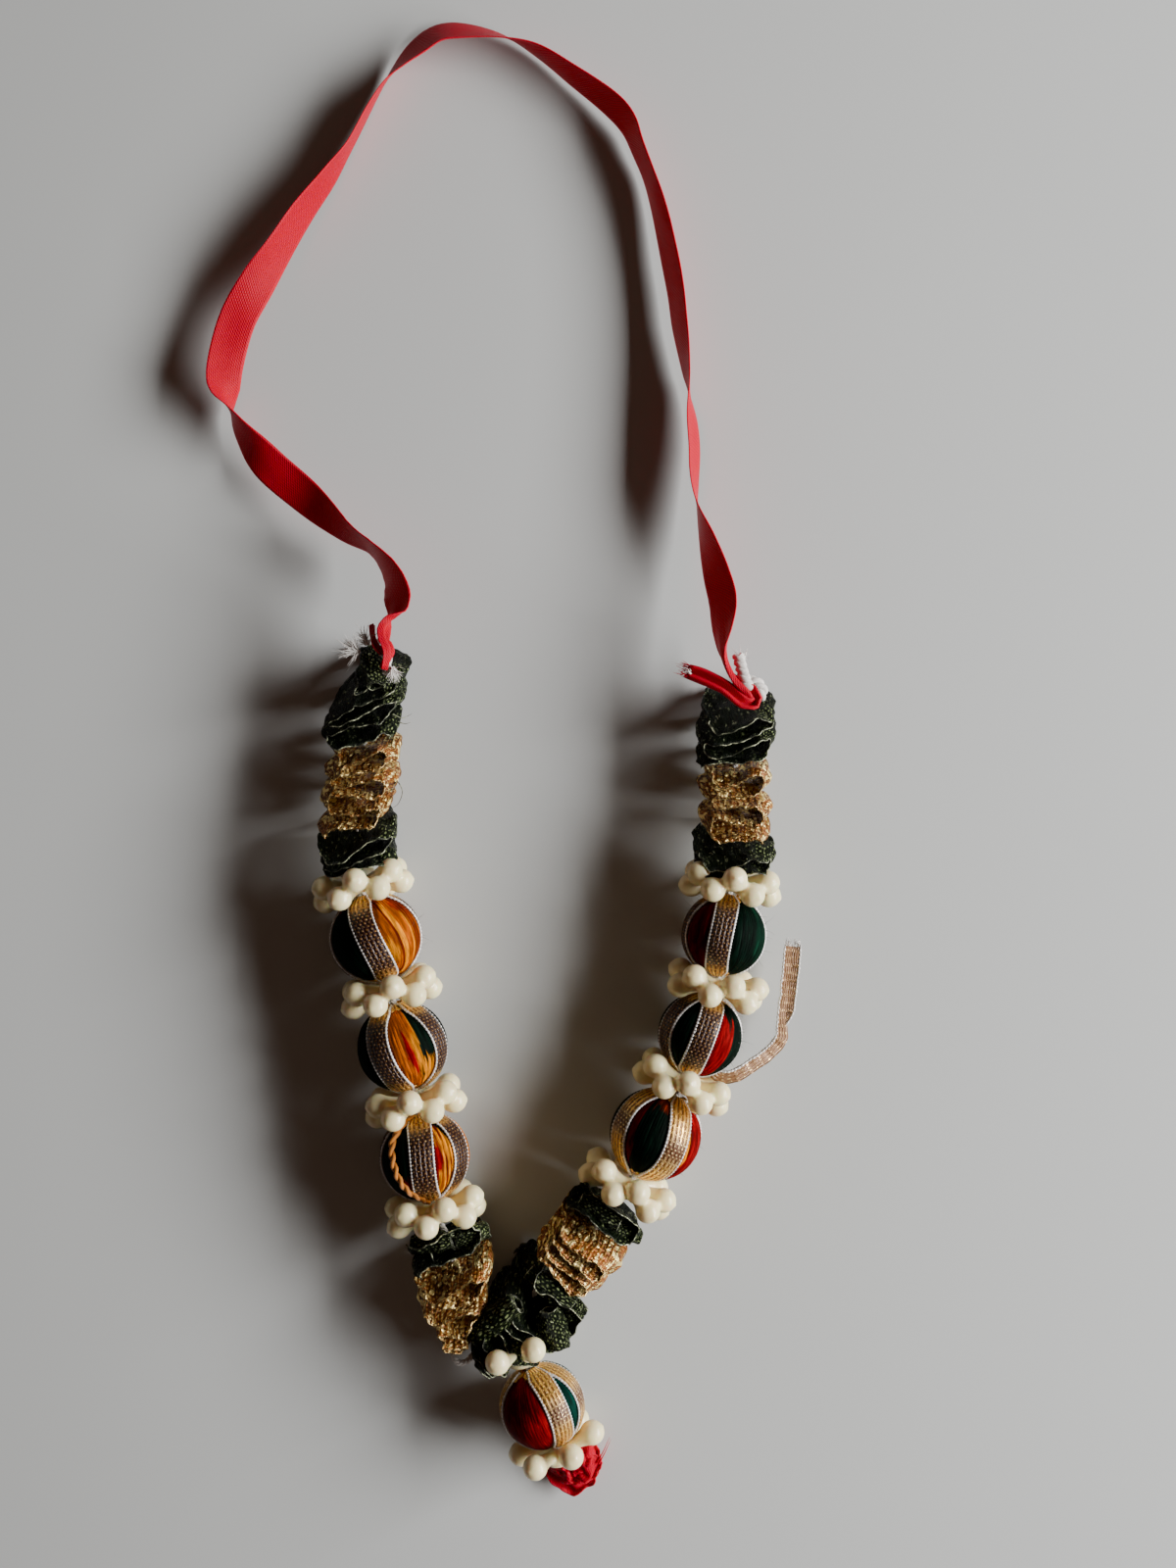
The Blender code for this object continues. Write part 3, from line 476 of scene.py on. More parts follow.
# Colours inside a finish: painted glints, ribs and stitches of the gold frills and strips, the
# satin's painted glints, and the rims of both frills. The ribs' ridges carry painted light.
LUREX_RIB_PAINTED_LIGHT = (0.62, 0.27, 0.045)
LUREX_STITCH = (0.90, 0.50, 0.11)
STRIP_PAINTED_GLINT = (0.90, 0.64, 0.32)
STRIP_LINE = (0.86, 0.50, 0.12)
STRIP_LINE_GROUND = (0.20, 0.075, 0.012)
SATIN_PAINTED_GLINT = (0.30, 0.34, 0.20)
# The pale green of the rims is a painted highlight of the satin's edges catching the light.
RIM_GREEN = (0.62, 0.66, 0.44)
RIM_GOLD = (0.92, 0.64, 0.26)

# Strips that differ from the usual ones: ground, metal, and distance from the middle of the ball
# at which their stitches turn to lines. The bright ones are on two balls, the faded one is the
# loose end.
BRIGHT_STRIP = ((0.10, 0.035, 0.010), (0.95, 0.70, 0.34), 1.5)
FADED_STRIP = ((0.26, 0.13, 0.06), (0.70, 0.47, 0.24), 9.0)
BRIGHT_STRIP_BALLS = ("ball_right_3", "ball_pendant")

# Yarn, stray hairs and the dark and pale grain of the cores.
YARN = (0.52, 0.165, 0.0)
HAIR = (0.10, 0.11, 0.10)
WOOD_GRAIN = ((0.42, 0.30, 0.17), (0.72, 0.58, 0.40))

# Rolled folds of ribbon on top of the green frills: start and end of each roll, and its radius.
# Each is a spiral of this many turns.
ROLL_TURNS = 1.7
FRILL_ROLLS = {
    "frill_left_1_green": (
        ((-35.5, 22.0, 10.6), (-34.3, 15.8, 12.8), 1.9),
        ((-31.4, 19.2, 8.6), (-33.0, 14.6, 9.0), 2.0),
    ),
    "frill_left_4_green": (
        ((-28.6, -75.2, 9.2), (-21.8, -74.2, 11.4), 1.7),
        ((-21.6, -74.6, 10.6), (-16.4, -73.0, 8.4), 1.6),
    ),
    "frill_centre_green": (
        ((-9.6, -79.6, 9.4), (-2.6, -84.6, 10.2), 1.9),
        ((-18.6, -90.2, 9.2), (-11.4, -84.2, 11.6), 2.3),
        ((-14.4, -92.4, 8.4), (-7.4, -89.6, 10.0), 2.1),
        ((-6.4, -85.2, 11.2), (-4.6, -91.4, 10.9), 2.0),
        ((-3.8, -87.0, 9.2), (-0.9, -84.8, 9.0), 1.8),
    ),
    "frill_right_4_green": (
        ((-1.0, -67.6, 9.6), (5.2, -71.4, 11.2), 1.7), ((3.8, -71.6, 10.4), (8.0, -74.2, 8.6), 1.6)
    ),
}

# Loose threads of green ribbon, as short routes.
GREEN_THREADS = (
    ((-32.0, 11.4, 8.0), (-30.4, 10.8, 8.4), (-28.9, 11.5, 8.2)),
    ((-32.0, 10.6, 7.6), (-30.2, 9.9, 7.8), (-29.2, 10.1, 7.4)),
    (
        (-32.2, -1.2, 9.0),
        (-31.2, 0.4, 9.6),
        (-30.3, -1.2, 9.4),
        (-31.0, -3.2, 9.0),
        (-32.2, -4.0, 8.4),
    ),
    ((-25.4, -76.0, 11.6), (-24.8, -77.3, 12.2), (-24.2, -76.8, 12.0)),
)

# Yellow yarn that crosses one ball: angle from straight up and from the top pole.
YARN_BALL = "ball_left_3"
CROSSING_YARN = ((-20, 18), (-38, 40), (-42, 62), (-34, 92), (-26, 118), (-12, 140), (-6, 158))

# Short hairs that stand off the wool: ball, and first and last angle from straight up.
HAIRS_EACH = 26
HAIR_PLACES = (
    ("ball_right_1", 60, 120),
    ("ball_right_2", 55, 125),
    ("ball_right_1", -150, -60),
    ("ball_right_3", 60, 140),
    ("ball_left_1", 60, 120),
)

# Thicker knotted ends of the cotton, as short routes, and their radius and twist against the
# cord's.
STUB_RADIUS, STUB_TWIST = 1.9, 1.5
COTTON_STUBS = (
    ((24.4, 20.8, 10.6), (24.8, 18.9, 11.4), (25.3, 16.9, 12.2), (26.0, 15.2, 12.4)),
    ((26.2, 16.8, 9.0), (27.6, 16.4, 9.6), (28.4, 15.2, 9.4), (28.0, 14.0, 8.6)),
)

# Frayed cotton: where a tuft grows from, which way, how many fibres and how long they are.
TUFTS = (
    ((-37.0, 21.2, 13.2), (-0.9, 0.3, 0.3), 130, 3.4),
    ((-35.6, 22.6, 13.2), (-0.35, 0.9, 0.3), 50, 2.8),
    ((-31.4, 18.6, 13.6), (0.25, -0.9, 0.1), 80, 2.2),
    ((25.3, 20.3, 7.5), (0.1, 1.0, 0.2), 30, 2.2),
    ((16.4, 17.9, 11.9), (-1.0, 0.45, 0.0), 16, 1.6),
)

# Floor and window light, in metres, and the colour of the light from the window and from all round.
FLOOR_HALF_SIDE = 0.9
WINDOW_SIZE = (0.75, 0.32)
WINDOW_DISTANCE = 0.85
WINDOW_SIDEWAYS = 0.02
WINDOW_COLOUR = (1.0, 0.985, 0.96)
FILL_COLOUR = (1.0, 0.60, 0.42, 1.0)
SENSOR_WIDTH = 36.0
CAMERA_CLIP = 0.005


def length_mm(name, description, default):
    return FloatProperty(name=name, description=description, default=default, min=0.0)


def colour_of(name, description, default):
    return FloatVectorProperty(
        name=name, description=description, default=default,
        size=3, subtype="COLOR", min=0.0, max=1.0,
    )


class PlasticSettings(bpy.types.PropertyGroup):
    """Sizes and colour of the moulded spacers, in millimetres."""

    bead_radius: length_mm("Bead radius", "Radius of the round end of each arm, in mm", 2.06)
    bead_reach: length_mm(
        "Bead reach", "Distance from the cord to the middle of that bead, in mm", 6.45
    )
    hub_radius: length_mm("Hub radius", "Radius of the middle of the spacer, in mm", 2.9)
    grain: length_mm("Remesh size", "Size of the voxels that blend the arms together, in mm", 0.31)
    colour: colour_of("Colour", "Colour of the plastic", (0.98, 0.86, 0.50))


class WoolSettings(bpy.types.PropertyGroup):
    """Sizes of the wound wool, in millimetres."""

    threads: IntProperty(
        name="Threads", description="Threads round the middle of a ball", default=96, min=12
    )
    depth: length_mm("Thread depth", "Depth of the grooves between threads, in mm", 0.10)
    pressed: length_mm("Pressed depth", "How far a strip presses the wool in, in mm", 0.5)
    wall: length_mm("Wall", "Thickness of the wool shell, in mm", 0.6)


class StripSettings(bpy.types.PropertyGroup):
    """Sizes and colours of the woven strips, in millimetres."""

    width: length_mm("Width", "Width of a strip between its edge threads, in mm", 3.8)
    thickness: length_mm("Thickness", "Thickness of a strip, in mm", 0.28)
    selvedge: length_mm("Edge thread", "Radius of the pale thread along each edge, in mm", 0.25)
    ground: colour_of("Ground", "Colour between the metal threads", (0.022, 0.005, 0.003))
    metal: colour_of("Metal", "Colour of the metal threads", (0.46, 0.23, 0.075))
    silver: colour_of("Edge", "Colour of the edge threads", (0.88, 0.85, 0.84))


class FrillSettings(bpy.types.PropertyGroup):
    """Sizes and colours of the pleated frills, in millimetres."""

    thickness: length_mm("Thickness", "Thickness of the pleated ribbon, in mm", 0.22)
    rim: length_mm("Rim thread", "Radius of the thread along each edge, in mm", 0.13)
    lean: length_mm("Lean", "How far the pleats lean for each mm of height", 0.72)
    crumple: length_mm("Crumple", "How far creases push the ribbon, in mm", 0.4)
    green: colour_of("Green", "Colour of the green satin", (0.0010, 0.0030, 0.0010))
    green_glint: colour_of("Green glint", "Colour of the satin's lit threads", (0.25, 0.31, 0.13))
    gold: colour_of("Gold", "Colour of the gold ribbon", (0.30, 0.082, 0.010))
    # The gold glint colour is painted on random metal threads as glints.
    gold_glint: colour_of(
        "Gold glint", "Colour of the glints painted on the gold ribbon's metal threads", (1.0, 0.80, 0.34)
    )


class RibbonSettings(bpy.types.PropertyGroup):
    """Sizes and colours of the red satin ribbon, in millimetres."""

    width: length_mm("Width", "Full width of the ribbon, in mm", 6.0)
    thickness: length_mm("Thickness", "Thickness of the ribbon, in mm", 0.2)
    colour: colour_of("Colour", "Colour of the satin", (0.50, 0.0, 0.020))
    edge: colour_of("Edge", "Colour of the woven edges", (0.56, 0.010, 0.035))


class CottonSettings(bpy.types.PropertyGroup):
    """Sizes and colour of the twisted cotton, in millimetres."""

    strand_radius: length_mm("Strand radius", "Radius of each of the three strands, in mm", 0.27)
    twist: length_mm("Twist", "Length of one full turn of the strands, in mm", 2.4)
    colour: colour_of("Colour", "Colour of the cotton", (0.80, 0.77, 0.74))


class StudioSettings(bpy.types.PropertyGroup):
    """Camera, light and floor."""

    camera_height: length_mm("Camera height", "Height of the camera over the floor, in mm", 280.0)
    lens: FloatProperty(
        name="Lens", description="Focal length for a 36 mm long side, in mm", default=38.07
    )
    window_angle: FloatProperty(
        name="Window angle", description="Height of the window light",
        default=math.radians(26.5), subtype="ANGLE",
    )
    window_power: FloatProperty(
        name="Window power", description="Power of the window light", default=20.5, unit="POWER"
    )
    fill: FloatProperty(
        name="Fill", description="Strength of the light from all round", default=0.055
    )
    floor: colour_of("Floor", "Colour of the floor", (0.53, 0.55, 0.555))


SETTINGS = {
    "garland_plastic": PlasticSettings,
    "garland_wool": WoolSettings,
    "garland_strips": StripSettings,
    "garland_frills": FrillSettings,
    "garland_ribbon": RibbonSettings,
    "garland_cotton": CottonSettings,
    "garland_studio": StudioSettings,
}


class Graph:
    """Short calls for building a tree of shader nodes."""

    def __init__(self, tree):
        self.tree = tree

    def put(self, socket, value):
        """Links a socket to another one, or sets its constant."""
        if isinstance(value, bpy.types.NodeSocket):
            self.tree.links.new(value, socket)
        elif socket.type == "RGBA" and len(value) == 3:
            socket.default_value = (*value, 1.0)
        else:
            socket.default_value = value

    def add(self, kind, inputs=None, **settings):
        made = self.tree.nodes.new("ShaderNode" + kind)
        for key, value in settings.items():
            setattr(made, key, value)
        for key, value in (inputs or {}).items():
            self.put(made.inputs[key], value)
        return made

    def math(self, operation, *values):
        return self.add("Math", dict(enumerate(values)), operation=operation).outputs[0]

    def times(self, first, second):
        return self.math("MULTIPLY", first, second)

    def plus(self, first, second):
        return self.math("ADD", first, second)

    def minus(self, first, second):
        return self.math("SUBTRACT", first, second)

    def mix(self, share, first, second, blend="MIX"):
        return self.add(
            "Mix", {0: share, 6: first, 7: second}, data_type="RGBA", blend_type=blend
        ).outputs[2]

    def step(self, value, low, high):
        """0 below low, 1 above high and a smooth ramp between them."""
        return self.add(
            "MapRange", {0: value, 1: low, 2: high}, interpolation_type="SMOOTHSTEP"
        ).outputs[0]

    def spread(self, value, low, high):
        """Turns a value from 0 to 1 into one from low to high."""
        return self.add("MapRange", {0: value, 3: low, 4: high}).outputs[0]

    def attribute(self, name):
        return self.add("Attribute", attribute_name=name)

    def lay(self):
        """Place on the cloth in millimetres: across it and along it."""
        return self.attribute("lay").outputs["Vector"]

    def stretched(self, vector, across, along):
        return self.add(
            "VectorMath", {0: vector, 1: (across, along, 1.0)}, operation="MULTIPLY"
        ).outputs[0]

    def noise(self, vector, scale, detail=3.0, roughness=0.55):
        inputs = {"Vector": vector, "Scale": scale, "Detail": detail, "Roughness": roughness}
        return self.add("TexNoise", inputs).outputs["Fac"]

    def group(self, tree, inputs):
        made = self.tree.nodes.new("ShaderNodeGroup")
        made.node_tree = tree
        for key, value in inputs.items():
            self.put(made.inputs[key], value)
        return made.outputs

    def bump(self, height, distance, strength=1.0):
        inputs = {"Height": height, "Distance": distance * MM, "Strength": strength}
        return self.add("Bump", inputs).outputs[0]


def new_group(name, inputs, outputs):
    """An empty shader group with float inputs and outputs and a vector called Lay."""
    tree = bpy.data.node_groups.new(name, "ShaderNodeTree")
    tree.interface.new_socket(name="Lay", in_out="INPUT", socket_type="NodeSocketVector")
    for socket in inputs:
        tree.interface.new_socket(name=socket, in_out="INPUT", socket_type="NodeSocketFloat")
    for socket in outputs:
        tree.interface.new_socket(name=socket, in_out="OUTPUT", socket_type="NodeSocketFloat")
    graph = Graph(tree)
    return graph, tree.nodes.new("NodeGroupInput").outputs, tree.nodes.new("NodeGroupOutput").inputs


def woven_rows():
    """Short metal stitches in staggered rows, which run together into lines."""
    name = "Woven rows"
    if name in bpy.data.node_groups:
        return bpy.data.node_groups[name]
    g, given, out = new_group(name, ("Column", "Row"), ("Stitches", "Lines", "Height"))
    place_on = g.add("SeparateXYZ", {0: given["Lay"]}).outputs
    wander = g.times(g.minus(g.noise(given["Lay"], 0.9), 0.5), 0.5)
    across = g.plus(g.math("DIVIDE", place_on[0], given["Column"]), wander)
    along = g.plus(g.math("DIVIDE", place_on[1], given["Row"]), wander)
    stagger = g.times(g.math("FLOORED_MODULO", g.math("FLOOR", along), 2.0), 0.5)
    from_middle = g.math("ABSOLUTE", g.minus(g.math("FRACT", g.plus(across, stagger)), 0.5))
    from_row = g.math("ABSOLUTE", g.minus(g.math("FRACT", along), 0.5))
    round_off = g.math(
        "SQRT", g.plus(g.math("POWER", from_middle, 2.0), g.math("POWER", from_row, 2.0))
    )
    stitches = g.minus(1.0, g.step(round_off, 0.16, 0.32))
    from_line = g.math("ABSOLUTE", g.minus(g.math("FRACT", across), 0.5))
    lines = g.minus(1.0, g.step(from_line, 0.15, 0.42))
    g.put(out["Stitches"], stitches)
    g.put(out["Lines"], lines)
    g.put(out["Height"], g.math("MAXIMUM", stitches, g.times(lines, 0.6)))
    return g.tree


def thread_streaks():
    """Fine streaks that follow the threads of wool, satin or cotton."""
    name = "Thread streaks"
    if name in bpy.data.node_groups:
        return bpy.data.node_groups[name]
    g, given, out = new_group(name, ("Across", "Along"), ("Streaks", "Height"))
    stretch = g.add("CombineXYZ", {0: given["Across"], 1: given["Along"], 2: 1.0}).outputs[0]
    vector = g.add("VectorMath", {0: given["Lay"], 1: stretch}, operation="MULTIPLY").outputs[0]
    fine = g.noise(vector, 1.0, 4.0, 0.65)
    g.put(out["Streaks"], g.step(fine, 0.30, 0.72))
    g.put(out["Height"], fine)
    return g.tree


def painted_glitter():
    """Scattered facets painted bright as glints, each a single metal thread that catches the light.
    """
    name = "Glitter"
    if name in bpy.data.node_groups:
        return bpy.data.node_groups[name]
    g, given, out = new_group(name, ("Size", "Amount"), ("Sparks", "Facets"))
    small = g.math("DIVIDE", 1.0, given["Size"])
    cells = g.add("TexVoronoi", {"Vector": given["Lay"], "Scale": small}, feature="F1").outputs
    shade = g.add("SeparateColor", {0: cells["Color"]}).outputs[0]
    g.put(out["Sparks"], g.step(g.plus(shade, given["Amount"]), 0.97, 1.03))
    g.put(out["Facets"], shade)
    return g.tree


def new_material(name, roughness, metallic=0.0, **constants):
    """A material with its Principled shader, whose unlinked values are set here."""
    material = bpy.data.materials.new(name)
    material.use_nodes = True
    shader = material.node_tree.nodes["Principled BSDF"]
    shader.inputs["Roughness"].default_value = roughness
    shader.inputs["Metallic"].default_value = metallic
    for key, value in constants.items():
        shader.inputs[key.replace("_", " ")].default_value = value
    return material, Graph(material.node_tree), shader


def ivory_plastic(settings):
    """Moulded ivory: a little cloudy inside, with a soft gloss and faint mould marks."""
    material, g, shader = new_material(
        "ivory_plastic_moulded", 0.3, Coat_Weight=0.25, Coat_Roughness=0.12, Subsurface_Weight=0.35,
        Subsurface_Scale=1.6 * MM, Subsurface_Radius=(1.0, 0.55, 0.28),
    )
    place_in = g.add("TexCoord").outputs["Object"]
    cloud = g.noise(place_in, 260.0, 3.0)
    fine = g.noise(place_in, 2600.0, 4.0)
    colour = Vector(settings.colour)
    pale = g.mix(g.step(cloud, 0.35, 0.7), tuple(colour * 0.92), tuple(colour * 1.06))
    g.put(shader.inputs["Base Color"], pale)
    g.put(shader.inputs["Roughness"], g.spread(fine, 0.22, 0.42))
    g.put(shader.inputs["Normal"], g.bump(fine, 0.04, 0.5))
    return material


def silky_wool(name):
    """Wound wool: the colour of each thread, with finer fibres in it."""
    material, g, shader = new_material(name, 0.5)
    shader.inputs["Specular IOR Level"].default_value = 0.02
    thread = g.attribute("thread_colour").outputs["Color"]
    streaks = g.group(thread_streaks(), {"Lay": g.lay(), "Across": 5.0, "Along": 0.35})
    shade = g.spread(streaks["Streaks"], 0.55, 1.3)
    coarse = g.noise(g.stretched(g.lay(), 1.5, 0.3), 1.0, 3.0)
    fibres = g.spread(g.step(coarse, 0.40, 0.60), 0.62, 1.2)
    g.put(shader.inputs["Base Color"], g.mix(1.0, thread, g.times(shade, fibres), "MULTIPLY"))
    g.put(shader.inputs["Roughness"], g.spread(streaks["Height"], 0.38, 0.7))
    g.put(shader.inputs["Normal"], g.bump(streaks["Height"], 0.12, 0.8))
    return material


def woven_strip(name, ground, metal, lines_from, fineness=1.0):
    """Strip with rows of metal stitches that become gold lines towards its ends."""
    material, g, shader = new_material(name, 0.36, 0.5)
    lay = g.stretched(g.lay(), fineness, fineness)
    place_on = g.add("SeparateXYZ", {0: lay}).outputs
    weave = g.group(woven_rows(), {"Lay": lay, "Column": 0.76, "Row": 0.56})
    sparks = g.group(painted_glitter(), {"Lay": lay, "Size": 0.42, "Amount": 0.10})
    from_middle = g.math("ABSOLUTE", place_on[1])
    towards_end = g.step(
        g.plus(from_middle, g.times(g.noise(lay, 1.2), 2.0)), lines_from, lines_from + 2.8
    )
    lit = g.add("MapRange", {0: g.noise(lay, 2.4), 1: 0.42, 2: 0.60, 3: 0.25, 4: 1.0}).outputs[0]
    pattern = g.math(
        "MAXIMUM", g.times(weave["Stitches"], lit), g.times(weave["Lines"], towards_end)
    )
    warm = g.mix(towards_end, tuple(metal), STRIP_LINE)
    bright = g.mix(g.times(sparks["Sparks"], 0.7), warm, STRIP_PAINTED_GLINT)
    # Painted glints: random stitches take the pale glint colour.
    woven_on = g.mix(towards_end, ground, STRIP_LINE_GROUND)
    g.put(shader.inputs["Base Color"], g.mix(pattern, woven_on, bright))
    g.put(shader.inputs["Metallic"], g.spread(pattern, 0.15, 0.85))
    g.put(shader.inputs["Roughness"], g.spread(sparks["Facets"], 0.25, 0.5))
    g.put(shader.inputs["Normal"], g.bump(weave["Height"], 0.22, 0.9))
    return material


def metal_thread(name, colour, roughness=0.3, metallic=0.7, painted_shade_share=0.42):
    """Thin thread wound with metal foil, with painted highlights: random stretches keep the full
    colour and the rest is darkened as painted shade. The bright stretches are also smoother.
    """
    material, g, shader = new_material(name, roughness, metallic)
    place_in = g.add("TexCoord").outputs["Object"]
    # Painted highlight and shade: random stretches keep the full colour, the rest is darkened by
    # the last argument. The same noise makes the bright stretches smoother.
    wear_and_lit_stretches = g.noise(place_in, 1500.0, 3.0)
    colour = Vector(colour)
    stretch = g.step(g.noise(place_in, 520.0, 2.0), 0.42, 0.60)
    bright = g.times(g.step(wear_and_lit_stretches, 0.35, 0.62), stretch)
    g.put(shader.inputs["Base Color"], g.mix(bright, tuple(colour * painted_shade_share), tuple(colour)))
    g.put(shader.inputs["Roughness"], g.spread(wear_and_lit_stretches, roughness + 0.2, roughness - 0.1))
    g.put(shader.inputs["Normal"], g.bump(wear_and_lit_stretches, 0.06, 0.7))
    return material


def green_satin(settings):
    """Near-black green satin with fine olive threads that catch the light."""
    material, g, shader = new_material("satin_green_pleated", 0.3)
    lay = g.lay()
    streaks = g.group(thread_streaks(), {"Lay": lay, "Across": 0.8, "Along": 4.5})
    sparks = g.group(painted_glitter(), {"Lay": g.stretched(lay, 0.55, 1.0), "Size": 0.26, "Amount": 0.05})
    weave = g.group(woven_rows(), {"Lay": lay, "Column": 0.95, "Row": 0.6})
    painted_lit_side = g.add("SeparateXYZ", {0: lay}).outputs[2]
    # Painted light: olive dashes of lit threads on the lobes that face the window and on the rolls,
    # which the third value of the lay marks, and in random patches.
    patch = g.math("MAXIMUM", g.step(g.noise(lay, 0.28, 2.0), 0.56, 0.72), painted_lit_side)
    broken = g.step(g.noise(lay, 1.1, 2.0), 0.40, 0.60)
    dashes = g.times(g.times(weave["Stitches"], patch), broken)
    lit = g.plus(g.times(g.math("POWER", streaks["Streaks"], 3.0), 0.06), dashes)
    base = g.mix(lit, tuple(settings.green), tuple(settings.green_glint))
    # Painted glints: random spots take the pale glint colour.
    g.put(shader.inputs["Base Color"], g.mix(g.times(sparks["Sparks"], 0.7), base, SATIN_PAINTED_GLINT))
    shader.inputs["Specular IOR Level"].default_value = 0.07
    g.put(shader.inputs["Metallic"], g.times(sparks["Sparks"], 0.7))
    g.put(shader.inputs["Roughness"], g.spread(streaks["Height"], 0.18, 0.38))
    g.put(shader.inputs["Normal"], g.bump(streaks["Height"], 0.5, 1.0))
    return material


def gold_lurex(settings):
    """Brown-orange ribbon woven with gold foil threads."""
    material, g, shader = new_material("lurex_gold_pleated", 0.38, 0.5)
    lay = g.lay()
    place_on = g.add("SeparateXYZ", {0: lay}).outputs
    weave = g.group(woven_rows(), {"Lay": lay, "Column": 0.8, "Row": 0.5})
    sparks = g.group(painted_glitter(), {"Lay": g.stretched(lay, 0.6, 1.0), "Size": 0.46, "Amount": 0.28})
    patch = g.step(g.noise(lay, 0.35), 0.38, 0.66)
    # Fine ribs in step with the waves of the pleated ribbon: their ridges are painted lighter than
    # the valleys, partly woven ribs and partly painted light and shade.
    phase = g.plus(g.times(place_on[1], 2 * math.pi / RIB_LENGTH), g.times(place_on[0], 0.125))
    ribs = g.step(g.math("SINE", phase), -0.4, 0.9)
    gold = Vector(settings.gold)
    deep = g.mix(patch, tuple(gold * 0.25), tuple(gold))
    painted_ridges = g.mix(g.times(ribs, 0.28), deep, LUREX_RIB_PAINTED_LIGHT)
    woven = g.mix(g.times(weave["Stitches"], 0.5), painted_ridges, LUREX_STITCH)
    # Painted glints: random metal threads take the bright glint colour.
    g.put(shader.inputs["Base Color"], g.mix(sparks["Sparks"], woven, tuple(settings.gold_glint)))
    g.put(shader.inputs["Metallic"], g.spread(sparks["Sparks"], 0.45, 0.95))
    g.put(shader.inputs["Roughness"], g.spread(sparks["Facets"], 0.22, 0.5))
    relief = g.plus(g.times(weave["Height"], 0.7), g.times(ribs, 0.4))
    facets = g.plus(relief, g.times(sparks["Facets"], 1.2))
    g.put(shader.inputs["Normal"], g.bump(facets, 0.35, 1.0))
    return material


def red_satin(settings):
    """Red satin: a fine slanted weave and a paler woven edge. The loop and the knot share it."""
    name = "satin_red_woven"
    if name in bpy.data.materials:
        return bpy.data.materials[name]
    material, g, shader = new_material(
        name, 0.38, Subsurface_Weight=0.5,
        Subsurface_Scale=0.5 * MM, Subsurface_Radius=(1.0, 0.12, 0.12),
    )
    shader.inputs["Specular IOR Level"].default_value = 0.07
    lay = g.lay()
    place_on = g.add("SeparateXYZ", {0: lay}).outputs
    slanted = g.plus(g.times(place_on[0], 0.85), place_on[1])
    wave = g.math("SINE", g.times(slanted, 2 * math.pi / 0.5))
    cross = g.math("SINE", g.times(place_on[0], 2 * math.pi / 0.35))
    weave = g.plus(g.times(wave, 0.6), g.times(cross, 0.4))
    streaks = g.group(thread_streaks(), {"Lay": lay, "Across": 3.5, "Along": 0.5})
    edge = g.step(
        g.math("ABSOLUTE", place_on[0]), settings.width / 2 - 0.55, settings.width / 2 - 0.25
    )
    colour = Vector(settings.colour)
    satin = g.mix(g.step(weave, -1.0, 1.0), tuple(colour * 0.62), tuple(colour * 1.25))
    satin = g.mix(g.times(streaks["Streaks"], 0.25), satin, tuple(colour * 0.6))
    g.put(shader.inputs["Base Color"], g.mix(g.times(edge, 0.6), satin, tuple(settings.edge)))
    g.put(
        shader.inputs["Roughness"],
        g.add("MapRange", {0: weave, 1: -1.0, 2: 1.0, 3: 0.48, 4: 0.3}).outputs[0],
    )
    g.put(shader.inputs["Normal"], g.bump(g.plus(weave, streaks["Height"]), 0.05, 0.6))
    return material


def soft_fibre(name, colour):
    """Matt cotton or thread, a little uneven in colour."""
    material, g, shader = new_material(name, 0.85, Sheen_Weight=0.4, Sheen_Roughness=0.5)
    place_in = g.add("TexCoord").outputs["Object"]
    uneven = g.noise(place_in, 1800.0, 4.0)
    colour = Vector(colour)
    g.put(
        shader.inputs["Base Color"],
        g.mix(g.step(uneven, 0.3, 0.7), tuple(colour * 0.72), tuple(colour)),
    )
    g.put(shader.inputs["Normal"], g.bump(uneven, 0.08, 0.8))
    return material


def turned_wood():
    """Plain wood of the core beads, which shows only at their bores."""
    material, g, shader = new_material("core_bead_turned", 0.6)
    place_in = g.add("TexCoord").outputs["Object"]
    grain = g.noise(g.stretched(place_in, 1.0, 0.2), 900.0, 4.0)
    g.put(shader.inputs["Base Color"], g.mix(grain, *WOOD_GRAIN))
    g.put(shader.inputs["Normal"], g.bump(grain, 0.05, 0.5))
    return material


def pale_floor(settings):
    """Plain pale floor with the faintest unevenness."""
    material, g, shader = new_material("pale_floor", 0.75)
    place_in = g.add("TexCoord").outputs["Object"]
    colour = Vector(settings.floor)
    cloud = g.noise(place_in, 9.0, 2.0)
    g.put(shader.inputs["Base Color"], g.mix(cloud, tuple(colour * 0.97), tuple(colour * 1.03)))
    return material


def frame_along(start, direction):
    """Local axes at a point of the cord: X to the side, Y along the cord, Z up."""
    along = Vector(direction).normalized()
    side = along.cross(UP).normalized() * -1.0
    upward = along.cross(side).normalized()
    axes = Matrix((side, along, upward)).transposed().to_4x4()
    return Matrix.Translation(Vector(start)) @ axes


def interpolate(stops, position):
    """Reads a value at a position between the (position, value) stops."""
    for (low, first), (high, second) in zip(stops, stops[1:]):
        if position <= high:
            share = max(0.0, (position - low) / (high - low))
            return first + (second - first) * share
    return stops[-1][1]


def smooth_route(points, step):
    """Samples a smooth curve through the points about every step. Every column is carried along."""
    points = [Vector(point) for point in points]
    padded = [points[0] * 2 - points[1], *points, points[-1] * 2 - points[-2]]
    route = []
    for before, start, end, after in zip(padded, padded[1:], padded[2:], padded[3:]):
        count = max(1, round((Vector(end[:3]) - Vector(start[:3])).length / step))
        for index in range(count):
            t = index / count
            route.append(
                0.5 * (2 * start + (end - before) * t
                       + (2 * before - 5 * start + 4 * end - after) * t ** 2
                       + (3 * start - before - 3 * end + after) * t ** 3)
            )
    route.append(points[-1])
    return route


